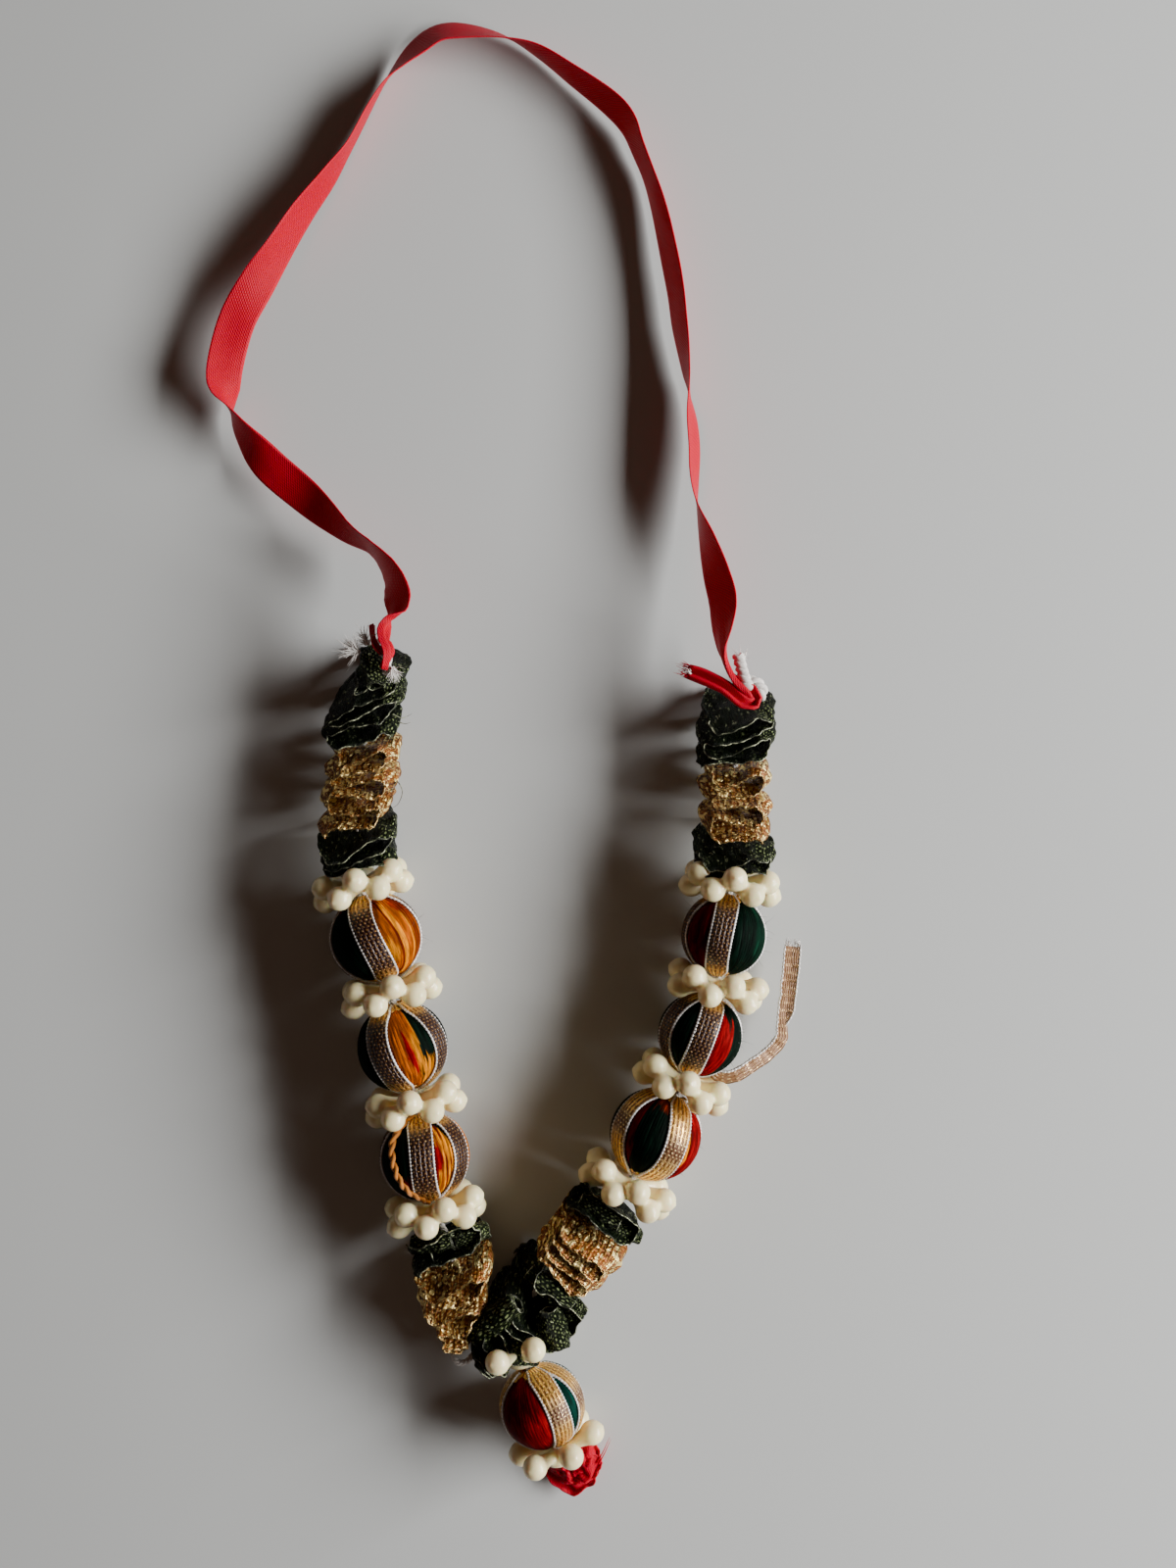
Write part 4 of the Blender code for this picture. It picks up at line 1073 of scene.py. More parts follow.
def ball_point(radius, polar, azimuth):
    """A point of a ball with its poles on local Y, azimuth 0 straight up and 90 to the right."""
    polar, azimuth = math.radians(polar), math.radians(azimuth)
    ring = radius * math.sin(polar)
    return Vector((ring * math.sin(azimuth), -radius * math.cos(polar), ring * math.cos(azimuth)))


def droop(direction, degrees):
    """Tips a level direction down towards the surface."""
    angle = math.radians(degrees)
    return direction * math.cos(angle) - UP * math.sin(angle)


def pendant_cord_route():
    """From just below the strand cord, through the pendant, into the tied ribbon."""
    top = droop(PENDANT_DIRECTION, PENDANT_TOP_DROOP)
    foot = droop(PENDANT_DIRECTION, PENDANT_FOOT_DROOP)
    return (
        PENDANT_TOP - PENDANT_DIRECTION * 4.6 - UP * 1.2,
        PENDANT_TOP - top * 1.5,
        PENDANT_TOP + top * 1.5,
        (PENDANT_TOP + PENDANT_FOOT) / 2,
        PENDANT_FOOT - foot * 1.5,
        PENDANT_FOOT + foot * 1.9,
    )


def rise(value, low, high):
    """0 below low, 1 above high and a smooth ramp between them. Low may be the higher one."""
    share = min(1.0, max(0.0, (value - low) / (high - low)))
    return share * share * (3.0 - 2.0 * share)


def laid_sheet(columns, rows, shape):
    """A grid laid onto a surface.

    Shape takes the place across and along it, both from 0 to 1, and returns the point and the place
    on the cloth in millimetres, with a third value for where light is painted on the sheet.
    """
    bm = empty_sheets()
    lay = bm.verts.layers.float_vector["lay"]
    bmesh.ops.create_grid(bm, x_segments=columns, y_segments=rows, size=0.5)
    for vert in bm.verts:
        vert.co, place_on = shape(vert.co.x + 0.5, vert.co.y + 0.5)
        vert[lay] = (*place_on, 0.0)[:3]
    return bm


def kept_above(point, kind):
    """Lifts a point that is below the lowest height of its kind of piece, and returns it."""
    point.z = max(point.z, LOWEST[kind])
    return point


def jitter(rng, size):
    """A random vector, up to size long along each axis."""
    return Vector([rng.uniform(-size, size) for _ in range(3)])


def empty_sheets():
    """An empty mesh that sheets with their place on the cloth can be taken into."""
    bm = bmesh.new()
    bm.verts.layers.float_vector.new("lay")
    return bm


def take_in(bm, other, material_index=0):
    """Moves another mesh into this one. Its faces get this material, or with None keep theirs."""
    count = len(bm.faces)
    mesh = bpy.data.meshes.new("taken_in")
    other.to_mesh(mesh)
    other.free()
    bm.from_mesh(mesh)
    bpy.data.meshes.remove(mesh)
    if material_index is None:
        return
    for face in list(bm.faces)[count:]:
        face.material_index = material_index


def thickened(bm, thickness):
    """Gives a sheet a wall on both sides of its surface, and returns it."""
    bmesh.ops.recalc_face_normals(bm, faces=bm.faces[:])
    mesh = bpy.data.meshes.new("sheet")
    bm.to_mesh(mesh)
    bm.free()
    obj = bpy.data.objects.new("sheet", mesh)
    bpy.context.scene.collection.objects.link(obj)
    wall = obj.modifiers.new("wall", "SOLIDIFY")
    wall.thickness = thickness
    wall.offset = 0.0
    return evaluated_mesh(obj)


def evaluated_mesh(obj):
    """The evaluated mesh of a helper object, which is removed."""
    bpy.context.view_layer.update()
    graph = bpy.context.evaluated_depsgraph_get()
    mesh = bpy.data.meshes.new_from_object(obj.evaluated_get(graph))
    bm = bmesh.new()
    bm.from_mesh(mesh)
    bpy.data.meshes.remove(mesh)
    bpy.data.objects.remove(obj, do_unlink=True)
    return bm


def threads(paths, radius, roundness=0):
    """Round threads along paths. A path is a list of points, each with its share of the radius."""
    curve = bpy.data.curves.new("threads", "CURVE")
    curve.dimensions = "3D"
    curve.bevel_depth = radius
    curve.bevel_resolution = roundness
    curve.use_fill_caps = True
    for path in paths:
        spline = curve.splines.new("POLY")
        spline.points.add(len(path) - 1)
        for point, (position, share) in zip(spline.points, path):
            point.co = (*position, 1.0)
            point.radius = share
    obj = bpy.data.objects.new("threads", curve)
    bpy.context.scene.collection.objects.link(obj)
    return evaluated_mesh(obj)


def beaded(points, period):
    """Gives a thread its twist: its radius swells and narrows every period points."""
    return [
        (point, 0.8 + 0.28 * math.sin(2 * math.pi * index / period))
        for index, point in enumerate(points)
    ]


def tapered(points):
    """A fibre that thins towards its free end."""
    last = max(1, len(points) - 1)
    return [(point, 1.0 - 0.85 * index / last) for index, point in enumerate(points)]


def frayed_fibre(start, reach, lift):
    """A fibre at a cut edge, which bends up or down towards its tip."""
    return tapered([start, start + reach * 0.5, start + reach + UP * lift])


def edge_threads(shape, samples, period):
    """Paths of the wound threads along both edges of a sheet."""
    edges = []
    for side in (0.0, 1.0):
        edges.append(
            beaded([shape(side, index / samples)[0] for index in range(samples + 1)], period)
        )
    return edges


def add_piece(name, bm, materials, nodes=()):
    """Puts a finished mesh, given in plan millimetres, into the scene as one piece."""
    bmesh.ops.translate(bm, verts=bm.verts[:], vec=-CENTRE)
    bmesh.ops.scale(bm, verts=bm.verts[:], vec=(MM, MM, MM))
    mesh = bpy.data.meshes.new(name)
    bm.to_mesh(mesh)
    bm.free()
    for material in materials:
        mesh.materials.append(material)
    mesh.shade_smooth()
    obj = bpy.data.objects.new(name, mesh)
    bpy.context.scene.collection.objects.link(obj)
    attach(obj, "root")
    if nodes:
        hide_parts(*nodes)
    return obj


def arm_mesh(settings):
    """One arm of a spacer along Z: a stalk that widens into a round bead."""
    radius, reach = settings.bead_radius, settings.bead_reach
    outline = list(ARM_STALK)
    for angle in BEAD_ANGLES:
        turn = math.radians(angle)
        outline.append((radius * math.sin(turn), reach + radius * math.cos(turn)))
    outline.extend((across, reach + radius + height) for across, height in MOULD_NUB)
    bm = bmesh.new()
    verts = [bm.verts.new((across, 0.0, height)) for across, height in outline]
    edges = [bm.edges.new(pair) for pair in zip(verts, verts[1:])]
    bmesh.ops.spin(
        bm, geom=verts + edges, cent=(0, 0, 0), axis=(0, 0, 1), angle=2 * math.pi,
        steps=20, use_merge=True, use_duplicate=False,
    )
    bmesh.ops.remove_doubles(bm, verts=bm.verts[:], dist=1e-4)
    bmesh.ops.recalc_face_normals(bm, faces=bm.faces[:])
    return bm


def spacer_mesh(centre, direction, arms, settings):
    """Arms and hub, blended into one moulded piece and flattened where they touch the floor."""
    axes = frame_along(centre, direction)
    bm = bmesh.new()
    hub = Matrix.Diagonal((1.0, HUB_FLATTENED, 1.0, 1.0))
    bmesh.ops.create_uvsphere(
        bm, u_segments=24, v_segments=16, radius=settings.hub_radius, matrix=hub
    )
    for angle, offset in arms:
        arm = arm_mesh(settings)
        arm.transform(
            Matrix.Translation((0.0, offset * ARM_SHIFT, 0.0))
            @ Matrix.Rotation(math.radians(angle), 4, "Y")
            @ Matrix.Rotation(-math.radians(offset * ARM_LEAN), 4, "X")
        )
        take_in(bm, arm)
    bm.transform(axes)
    mesh = bpy.data.meshes.new("spacer")
    bm.to_mesh(mesh)
    bm.free()
    obj = bpy.data.objects.new("spacer", mesh)
    bpy.context.scene.collection.objects.link(obj)
    blend = obj.modifiers.new("blend", "REMESH")
    blend.mode = "VOXEL"
    blend.voxel_size = settings.grain
    soften = obj.modifiers.new("soften", "SMOOTH")
    soften.factor = 0.5
    soften.iterations = 3
    bm = evaluated_mesh(obj)
    for vert in bm.verts:
        kept_above(vert.co, "plastic")
    return bm


def strand_spacer_arms(turn):
    """Two staggered rows of arms."""
    step = 360.0 / ARMS_PER_ROW
    arms = []
    for index in range(ARMS_PER_ROW):
        arms.append((turn + index * step, -ROW_OFFSET))
        arms.append((turn + (index + 0.5) * step, ROW_OFFSET))
    return arms


def strand_ends(strand, index):
    """Start and end, on the cord, of the ball between two spacers of a strand."""
    if strand == "pendant":
        middle = PENDANT_TOP.lerp(PENDANT_FOOT, PENDANT_BALL_SHARE)
        half = (PENDANT_FOOT - PENDANT_TOP) / 2
        return middle - half, middle + half
    spacers = LEFT_SPACERS if strand == "left" else RIGHT_SPACERS
    return Vector((*spacers[index][0], BEAD_HEIGHT)), Vector((*spacers[index + 1][0], BEAD_HEIGHT))


def ball_named(name):
    """The wool ball of that name."""
    return next(Ball(*spec) for spec in BALLS if spec[0] == name)


def signed(azimuth):
    """An angle between -180 and 180 degrees."""
    return (azimuth + 180.0) % 360.0 - 180.0


class Ball:
    """Where one wool ball lies and what is wound on it."""

    def __init__(self, name, strand, index, radius, lean, strips, sectors, patches):
        start, end = strand_ends(strand, index)
        self.name = name
        self.scale = radius / BALL_RADIUS
        self.axes = frame_along((start + end) / 2, end - start)
        self.lean = lean
        self.strips = strips
        self.sectors = sectors
        self.patches = patches
        self.seed = sum(map(ord, name))

    def point(self, radius, polar, azimuth):
        """A point of the ball. Everything wound on it leans over a little from pole to pole."""
        leaned = azimuth - self.lean * math.cos(math.radians(polar))
        return self.axes @ (ball_point(radius, polar, leaned) * self.scale)

    def strip_distance(self, polar, azimuth):
        """Distance in millimetres from the middle of the nearest strip."""
        apart = min(abs(signed(azimuth - strip)) for strip in self.strips)
        return BALL_RADIUS * math.sin(math.radians(polar)) * math.radians(apart)

    def wool_at(self, base, polar, azimuth):
        """Name of the wool at a point: the topmost patch there, with an uneven edge."""
        azimuth = signed(azimuth)
        spot = Vector((azimuth * 0.06, polar * 0.02, self.seed))
        sideways, lengthwise, by_thread = PATCH_WANDER
        across = azimuth + sideways * noise.noise(spot)
        along = polar + lengthwise * noise.noise(spot * 1.7)
        along += by_thread * noise.noise(Vector((azimuth * 0.45, 0.0, self.seed)))
        wool = base
        for name, left, right, top, bottom in self.patches:
            away = (2 * across - left - right) / (right - left)
            past = (2 * along - top - bottom) / (bottom - top)
            pointed = 1.4 if bottom - top < FLAME_LENGTH else 5.0
            if abs(away) ** pointed + abs(past) ** pointed < 1.0:
                wool = name
        return wool


def wool_sheet(ball, base, low, high, settings):
    """Wool of one sector: threads side by side, each with its shade, pressed in by the strips."""
    count = round(settings.threads * (high - low) / 360.0)
    rng = random.Random(ball.seed + int(low))
    shades = [rng.uniform(-1.0, 1.0) for _ in range(count + 1)]
    places = []

    def shape(across, along):
        azimuth = low + (high - low) * across
        polar = WOOL_END_ANGLE + (180.0 - 2 * WOOL_END_ANGLE) * along
        wander = noise.noise(Vector((azimuth * 0.03, polar * 0.012, ball.seed)))
        thread = across * count + 1.6 * wander
        groove = settings.depth * (abs(2.0 * (thread % 1.0) - 1.0) ** 2)
        press = 1.0 - rise(ball.strip_distance(polar, azimuth), PRESSED_FROM, PRESSED_TO)
        lump = 0.10 * noise.noise(Vector((azimuth * 0.05, polar * 0.02, ball.seed + 9.0)))
        radius = BALL_RADIUS + 0.12 + lump - settings.pressed * press - groove - settings.wall / 2
        places.append((thread, polar, azimuth))
        lay = (math.radians(azimuth) * BALL_RADIUS, math.radians(polar) * BALL_RADIUS)
        return ball.point(radius, polar, azimuth), lay

    bm = laid_sheet(count * WOOL_COLUMNS, WOOL_ROWS, shape)
    colours = bm.verts.layers.float_color.new("thread_colour")
    for vert, (thread, polar, azimuth) in zip(bm.verts, places):
        name, own = ball.wool_at(base, polar, azimuth), shades[int(thread) % len(shades)]
        if name == "orange" and abs(own) > FLECKED:
            name = "yellow" if own > 0.0 else "rust"
        wool, spread = WOOL[name]
        shade = 1.0 + spread * own
        vert[colours] = (*(Vector(wool) * shade), 1.0)
    return thickened(bm, settings.wall)


def strip_sheet(ball, azimuth, settings):
    """One woven strip from pole to pole, narrower at its ends."""
    rng = random.Random(ball.seed + azimuth)
    phase = rng.uniform(0.0, 9.0)

    def shape(across, along):
        polar = STRIP_END_ANGLE + (180.0 - 2 * STRIP_END_ANGLE) * along
        narrow = 0.5 + 0.5 * rise(min(along, 1.0 - along), 0.0, 0.16)
        sideways = (across - 0.5) * settings.width * narrow
        uneven = 0.05 * noise.noise(Vector((sideways * 0.8, polar * 0.06, phase)))
        crown = 0.10 * (1.0 - (2.0 * across - 1.0) ** 2)
        ring = BALL_RADIUS * max(0.2, math.sin(math.radians(polar)))
        turn = azimuth + math.degrees(sideways / ring)
        point = ball.point(BALL_RADIUS + 0.02 + crown + uneven, polar, turn)
        return point, ((across - 0.5) * settings.width, math.radians(polar - 90.0) * BALL_RADIUS)

    return shape


def strips_mesh(ball, settings):
    """All strips of a ball with a pale thread along each edge, and their ends at its poles."""
    bm = empty_sheets()
    edges = []
    for azimuth in ball.strips:
        shape = strip_sheet(ball, azimuth, settings)
        take_in(bm, thickened(laid_sheet(*STRIP_GRID, shape), settings.thickness))
        edges.extend(edge_threads(shape, 100, 3.0))
    for top in (True, False):

        def gathered(across, along):
            radius = 1.2 + 2.2 * along
            height = 7.15 - 0.16 * radius ** 1.5 + 0.06 * math.sin(across * 2 * math.pi * 26)
            angle = across * 2 * math.pi
            height = -height if top else height
            local = Vector((radius * math.sin(angle), height, radius * math.cos(angle)))
            return ball.axes @ (local * ball.scale), (across * 16.0 - 8.0, 9.0 + along)

        take_in(bm, thickened(laid_sheet(*POLE_GRID, gathered), settings.thickness))
    take_in(bm, threads(edges, settings.selvedge, 1), 1)
    return bm


def loose_strip(settings):
    """The loose end of a strip: folded double lengthwise, opened out past its bend, and frayed."""
    route = smooth_route(LOOSE_STRIP_ROUTE, 0.5)
    rng = random.Random(STRIP_FRAY_SEED)

    def shape(across, along):
        exact = along * (len(route) - 1)
        index = min(int(exact), len(route) - 2)
        spot = route[index].lerp(route[index + 1], exact - index)
        forward = (route[min(len(route) - 1, index + 2)] - route[max(0, index - 1)]).normalized()
        outward = UP.cross(forward).normalized()
        from_fold = 2.0 * across - 1.0
        folded = Vector(((abs(from_fold) - 0.5) * 2.0, 0.36 * from_fold))
        opened = Vector((from_fold * 1.3, 0.35 * abs(from_fold) - 0.15))
        section = folded.lerp(opened, rise(along, 0.46, 0.66))
        point = spot + outward * section.x + UP * section.y
        point += noise.noise_vector(point * 0.7) * 0.16
        return point, ((across - 0.5) * settings.width, along * 9.0 - 4.5)

    bm = laid_sheet(*LOOSE_STRIP_GRID, shape)
    for face in bm.faces:
        face.material_index = 2
    bm = thickened(bm, settings.thickness * 0.7)
    take_in(bm, threads(edge_threads(shape, 160, 4.0), settings.selvedge * 0.8, 1), 1)
    frayed = []
    for _ in range(34):
        start = shape(rng.random(), 1.0)[0]
        reach = Vector((rng.uniform(-0.6, 0.6), rng.uniform(0.4, 1.6), rng.uniform(-0.3, 0.4)))
        frayed.append(frayed_fibre(start, reach, rng.uniform(-0.2, 0.3)))
    take_in(bm, threads(frayed, 0.1), 1)
    return bm


class Frill:
    """The lay of one pleated ribbon on the cord."""

    def __init__(self, spec, seed, settings):
        self.name, self.colour, start, end, pleats, slant, left, right = spec
        self.settings = settings
        self.seed = seed
        self.gold = self.colour == "gold"
        self.room = FRILL_ROOM.get(self.name, FRILL_FREE_ROOM)
        start, end = Vector(start), Vector(end)
        self.length = (end - start).length
        self.axes = frame_along(start, end - start)
        self.round, self.side_lean = FRILL_ROUND, 0.0
        if self.name == CENTRE_FRILL:
            towards_pendant = (self.axes.inverted() @ PENDANT_TOP).x
            self.round = CENTRE_FRILL_ROUND
            self.side_lean = math.copysign(CENTRE_FRILL_LEAN, towards_pendant)
        self.slants = ((0.0, slant[0]), (0.5, slant[1]), (1.0, slant[2]))
        self.columns = self.pleat_columns(pleats, left, right)

    def pleat_columns(self, pleats, left, right):
        """Points to and fro across the cord.

        Each comes with its angle in the turn, the middle of its lobe and the length so far.
        """
        rng = random.Random(self.seed)
        reach = [rng.uniform(0.94, 1.04) for _ in range(pleats + 1)]
        pitch = (self.length - 2 * FRILL_END) / pleats
        bulge = min(FRILL_BULGE, 0.9 * (1.5 * pitch - 1.0) / 2)
        columns = []
        walked = 0.0
        for turn in range(pleats + 1):
            sign = -1.0 if turn % 2 == 0 else 1.0
            stops = left if sign < 0 else right
            first = 0 if turn == 0 else -PLEAT_STEPS
            last = 1 if turn == pleats else PLEAT_STEPS
            for step in range(first, last):
                angle = math.radians(step * PLEAT_STEP_ANGLE)
                along = FRILL_END + pitch * (turn + step / (2 * PLEAT_STEPS))
                along += bulge * math.sin(2 * angle)
                size = interpolate(stops, along / self.length) * reach[turn]
                spot = Vector((sign * size * math.cos(angle) ** 0.75, along))
                lobe = Vector((sign * (size - LOBE_RADIUS), FRILL_END + pitch * turn))
                if columns:
                    walked += (spot - columns[-1][0]).length
                columns.append((spot, abs(step * PLEAT_STEP_ANGLE), lobe, walked))
        return columns

    def held(self, along):
        """Keeps a leaning pleat off the neighbours of the frill: it crowds together near them."""
        low, high = -self.room[0], self.length + self.room[1]
        if along < low + CROWDED:
            return low + CROWDED * math.exp((along - low - CROWDED) / CROWDED)
        if along > high - CROWDED:
            return high - CROWDED * math.exp((high - CROWDED - along) / CROWDED)
        return along

    def at(self, index, share):
        """A point of the ribbon, by column and from -1 at its lower edge to 1 at its upper edge."""
        spot, angle, lobe, walked = self.columns[index]
        half = FRILL_HALF_WIDTH * max(0.15, 1.0 - (abs(spot.x) / self.round) ** 4) ** 0.5
        edge = rise(abs(share), 0.25, 1.0)
        hold = rise(angle, 72.0, 30.0)
        period, depth, closing, lean_share = PLEATING[self.colour]
        close = closing * hold * edge
        before = self.columns[max(0, index - 1)][0]
        after = self.columns[min(len(self.columns) - 1, index + 1)][0]
        forward = (after - before).normalized()
        wave = math.sin(walked * 2 * math.pi / period + share * 0.7) * depth * edge
        flat = lobe + (spot - lobe) * (1.0 - close) + Vector((-forward.y, forward.x)) * wave
        height = share * half * (1.0 - 0.10 * hold * edge)
        lean = self.settings.lean * lean_share
        lean *= 1.0 + 0.3 * noise.noise(Vector((flat.x * 0.16, flat.y * 0.2, 7.0)))
        if self.room[0] < FRILL_HALF_WIDTH / 2:
            lean *= 1.8 * rise(spot.y, 0.0, 4.0) - 0.8
        slant = interpolate(self.slants, spot.y / self.length)
        along = self.held(flat.y + lean * height) + slant * flat.x
        point = self.axes @ Vector((flat.x + self.side_lean * height, along, height))
        crumple = self.settings.crumple
        point += noise.noise_vector(point * 0.26) * crumple * 1.5
        point += noise.noise_vector(point * 0.8 + Vector((0.0, 0.0, 4.0))) * crumple * 0.8
        return kept_above(point, "frill")

    def mesh(self):
        """The ribbon with a wall, and a fine wound thread along both edges."""
        last = len(self.columns) - 1

        def shape(across, along):
            index = round(along * last)
            share = 2.0 * across - 1.0
            spot, _, _, walked = self.columns[index]
            # Painted light: the lobes on the window's side, which the green satin paints with lit
            # dashes.
            facing_window = rise(spot.x, 2.0, 4.5) * rise(share, -0.3, 0.4)
            return self.at(index, share), (share * FRILL_HALF_WIDTH, walked, facing_window)

        bm = thickened(laid_sheet(FRILL_ACROSS, last, shape), self.settings.thickness)
        edges = []
        for share in (-1.0, 1.0):
            points = [self.at(index, share) for index in range(last + 1)]
            finer = []
            for start, end in zip(points, points[1:]):
                finer.extend((start, start.lerp(end, 0.5)))
            edges.append(beaded(finer, 3.0))
        take_in(bm, threads(edges, self.settings.rim), 1)
        return bm


def ribbon_roll(start, end, radius, seed):
    """A rolled end of ribbon: a spiral with creases round it."""
    start, end = Vector(start), Vector(end)
    forward = (end - start).normalized()
    side = forward.cross(UP).normalized()
    upward = side.cross(forward)

    def shape(across, along):
        turn = along * 2 * math.pi * ROLL_TURNS
        swell = radius * (0.55 + 0.45 * along) * (0.82 + 0.3 * math.sin(math.pi * across))
        crease = 1.0 + 0.07 * math.sin(across * 2 * math.pi * 5 + turn)
        out = side * math.cos(turn) + upward * math.sin(turn)
        point = start.lerp(end, across) + out * swell * crease
        point += noise.noise_vector(point * 0.6 + Vector((0.0, seed, 0.0))) * 0.4
        # The whole roll gets the green satin's painted lit dashes through the third value of its
        # lay.
        return point, (across * 8.0, along * 24.0, 1.0)

    return shape


def band_shape(route, settings, gather=0.85):
    """Shape of a ribbon along a route of (x, y, z, tilt, share of width) samples.

    Where the ribbon is drawn in, it folds lengthwise, and gather says how deep.
    """

    def shape(across, along):
        exact = along * (len(route) - 1)
        index = min(int(exact), len(route) - 2)
        sample = route[index].lerp(route[index + 1], exact - index)
        before = Vector(route[max(0, index - 1)][:3])
        after = Vector(route[min(len(route) - 1, index + 2)][:3])
        forward = (after - before).normalized()
        outward = UP.cross(forward).normalized()
        upward = forward.cross(outward)
        tilt = math.radians(sample[3])
        sideways = outward * math.cos(tilt) + upward * math.sin(tilt)
        normal = forward.cross(sideways)
        drawn_in = 1.0 - min(1.0, sample[4])
        fold = gather * drawn_in * math.cos(across * 3 * math.pi + exact * 0.05)
        ripple = 0.16 * noise.noise(Vector((across * 1.5, exact * 0.09, 3.0)))
        offset = (across - 0.5) * settings.width * sample[4]
        point = Vector(sample[:3]) + sideways * offset + normal * (fold + ripple)
        return point, ((across - 0.5) * settings.width, exact * ROUTE_STEP)

    return shape


def crumpled(band, scale, depth, shift):
    """A ribbon's shape with creases of that scale and depth, moved, and kept off the floor."""

    def shape(across, along):
        point, lay = band(across, along)
        point += noise.noise_vector(point * scale) * depth + Vector(shift)
        return kept_above(point, "knot"), lay

    return shape


def wad_shape(settings):
    """Shape of the crumpled ribbon that fills the knot: a creased dome on a round outline."""

    def shape(across, along):
        u, v = 2.0 * across - 1.0, 2.0 * along - 1.0
        x, y = u * math.sqrt(1.0 - v * v / 2), v * math.sqrt(1.0 - u * u / 2)
        inner = max(0.0, 1.0 - x * x - y * y)
        crests = 0.7 * math.sin(7.0 * x + 4.0 * y) + 0.4 * math.sin(11.0 * y - 3.0 * x)
        height = WAD_HEIGHT * inner ** 0.5 + crests * inner
        point = WAD_MIDDLE + Vector((x * (WAD_REACH + 0.9 * y), WAD_REACH * y, height))
        point += noise.noise_vector(point * 0.7) * 0.8
        return kept_above(point, "knot"), (u * settings.width / 2, v * 5.0)

    return shape


def twisted_cord(route, radius, twist):
    """Three strands wound round each other along a route."""
    points = [Vector(sample) for sample in route]
    strands = [[], [], []]
    walked = 0.0
    for index, point in enumerate(points):
        forward = (points[min(index + 1, len(points) - 1)] - points[max(index - 1, 0)]).normalized()
        side = forward.cross(UP).normalized()
        upward = side.cross(forward)
        if index:
            walked += (point - points[index - 1]).length
        for number, strand in enumerate(strands):
            turn = 2 * math.pi * (walked / twist + number / 3.0)
            offset = (side * math.cos(turn) + upward * math.sin(turn)) * radius * 1.1
            strand.append((point + offset, 1.0))
    return threads(strands, radius, 1)


def tuft(start, direction, count, length, rng):
    """Fibres that fan out from a point and curl."""
    paths = []
    start, direction = Vector(start), Vector(direction).normalized()
    for _ in range(count):
        way = (direction + jitter(rng, 0.7)).normalized()
        bend = jitter(rng, 0.5)
        reach = length * rng.uniform(0.45, 1.0)
        root = start + jitter(rng, 0.3)
        points = []
        for index in range(6):
            share = index / 5.0
            point = root + way * reach * share + bend * reach * share * share * 0.8
            points.append(kept_above(point, "fibre"))
        paths.append(tapered(points))
    return paths


class GARLAND_OT_studio(bpy.types.Operator):
    """Floor, soft window light from the right, and the camera straight above"""

    bl_idname = "garland.studio"
    bl_label = "Studio"

    def execute(self, context):
        settings = context.scene.garland_studio
        bm = bmesh.new()
        bmesh.ops.create_grid(bm, x_segments=1, y_segments=1, size=FLOOR_HALF_SIDE)
        mesh = bpy.data.meshes.new("floor")
        bm.to_mesh(mesh)
        bm.free()
        mesh.materials.append(pale_floor(settings))
        floor = bpy.data.objects.new("floor", mesh)
        context.scene.collection.objects.link(floor)
        self.add_window(context, settings)
        world = bpy.data.worlds.new("studio")
        world.use_nodes = True
        background = world.node_tree.nodes["Background"]
        background.inputs["Color"].default_value = FILL_COLOUR
        background.inputs["Strength"].default_value = settings.fill
        context.scene.world = world
        camera = bpy.data.cameras.new("camera")
        camera.lens = settings.lens
        camera.sensor_width = SENSOR_WIDTH
        camera.clip_start = CAMERA_CLIP
        holder = bpy.data.objects.new("camera", camera)
        holder.location = Vector((-CENTRE.x, -CENTRE.y, settings.camera_height)) * MM
        context.scene.collection.objects.link(holder)
        context.scene.camera = holder
        return {"FINISHED"}

    def add_window(self, context, settings):
        """A large soft light low on the right."""
        light = bpy.data.lights.new("window", "AREA")
        light.shape = "RECTANGLE"
        light.size, light.size_y = WINDOW_SIZE
        light.energy = settings.window_power
        light.color = WINDOW_COLOUR
        angle = settings.window_angle
        away = Vector((math.cos(angle), WINDOW_SIDEWAYS, math.sin(angle))) * WINDOW_DISTANCE
        holder = bpy.data.objects.new("window", light)
        holder.location = away
        holder.rotation_euler = away.to_track_quat("Z", "Y").to_euler()
        context.scene.collection.objects.link(holder)


class GARLAND_OT_loop_ribbon(bpy.types.Operator):
    """The red satin ribbon of the loop, from its tucked end to its cut end"""

    bl_idname = "garland.loop_ribbon"
    bl_label = "Loop ribbon"

    def execute(self, context):
        settings = context.scene.garland_ribbon
        route = smooth_route(LOOP_RIBBON_ROUTE, ROUTE_STEP)
        band = band_shape(route, settings)

        def shape(across, along):
            point, lay = band(across, along)
            return point + Vector((1.25 * rise(lay[1], 17.0, 8.0), 0.0, 0.0)), lay

        bm = thickened(laid_sheet(RIBBON_ACROSS, len(route) - 1, shape), settings.thickness)
        tail = band_shape(smooth_route(RIBBON_TAIL_ROUTE, 0.4), settings, 0.5)
        take_in(bm, thickened(laid_sheet(*TAIL_GRID, tail), settings.thickness))
        rng = random.Random(RIBBON_FRAY_SEED)
        way = (Vector(route[-1][:3]) - Vector(route[-3][:3])).normalized()
        frayed = []
        for _ in range(40):
            start = shape(rng.random(), 1.0)[0] - way * 0.3
            reach = way * rng.uniform(0.7, 2.3) + jitter(rng, 0.5)
            frayed.append(frayed_fibre(start, reach, rng.uniform(-0.3, 0.3)))
        take_in(bm, threads(frayed, 0.09))
        loop = add_piece("ribbon_loop", bm, [red_satin(settings)], ["loop_ribbon"])
        return {"FINISHED"}


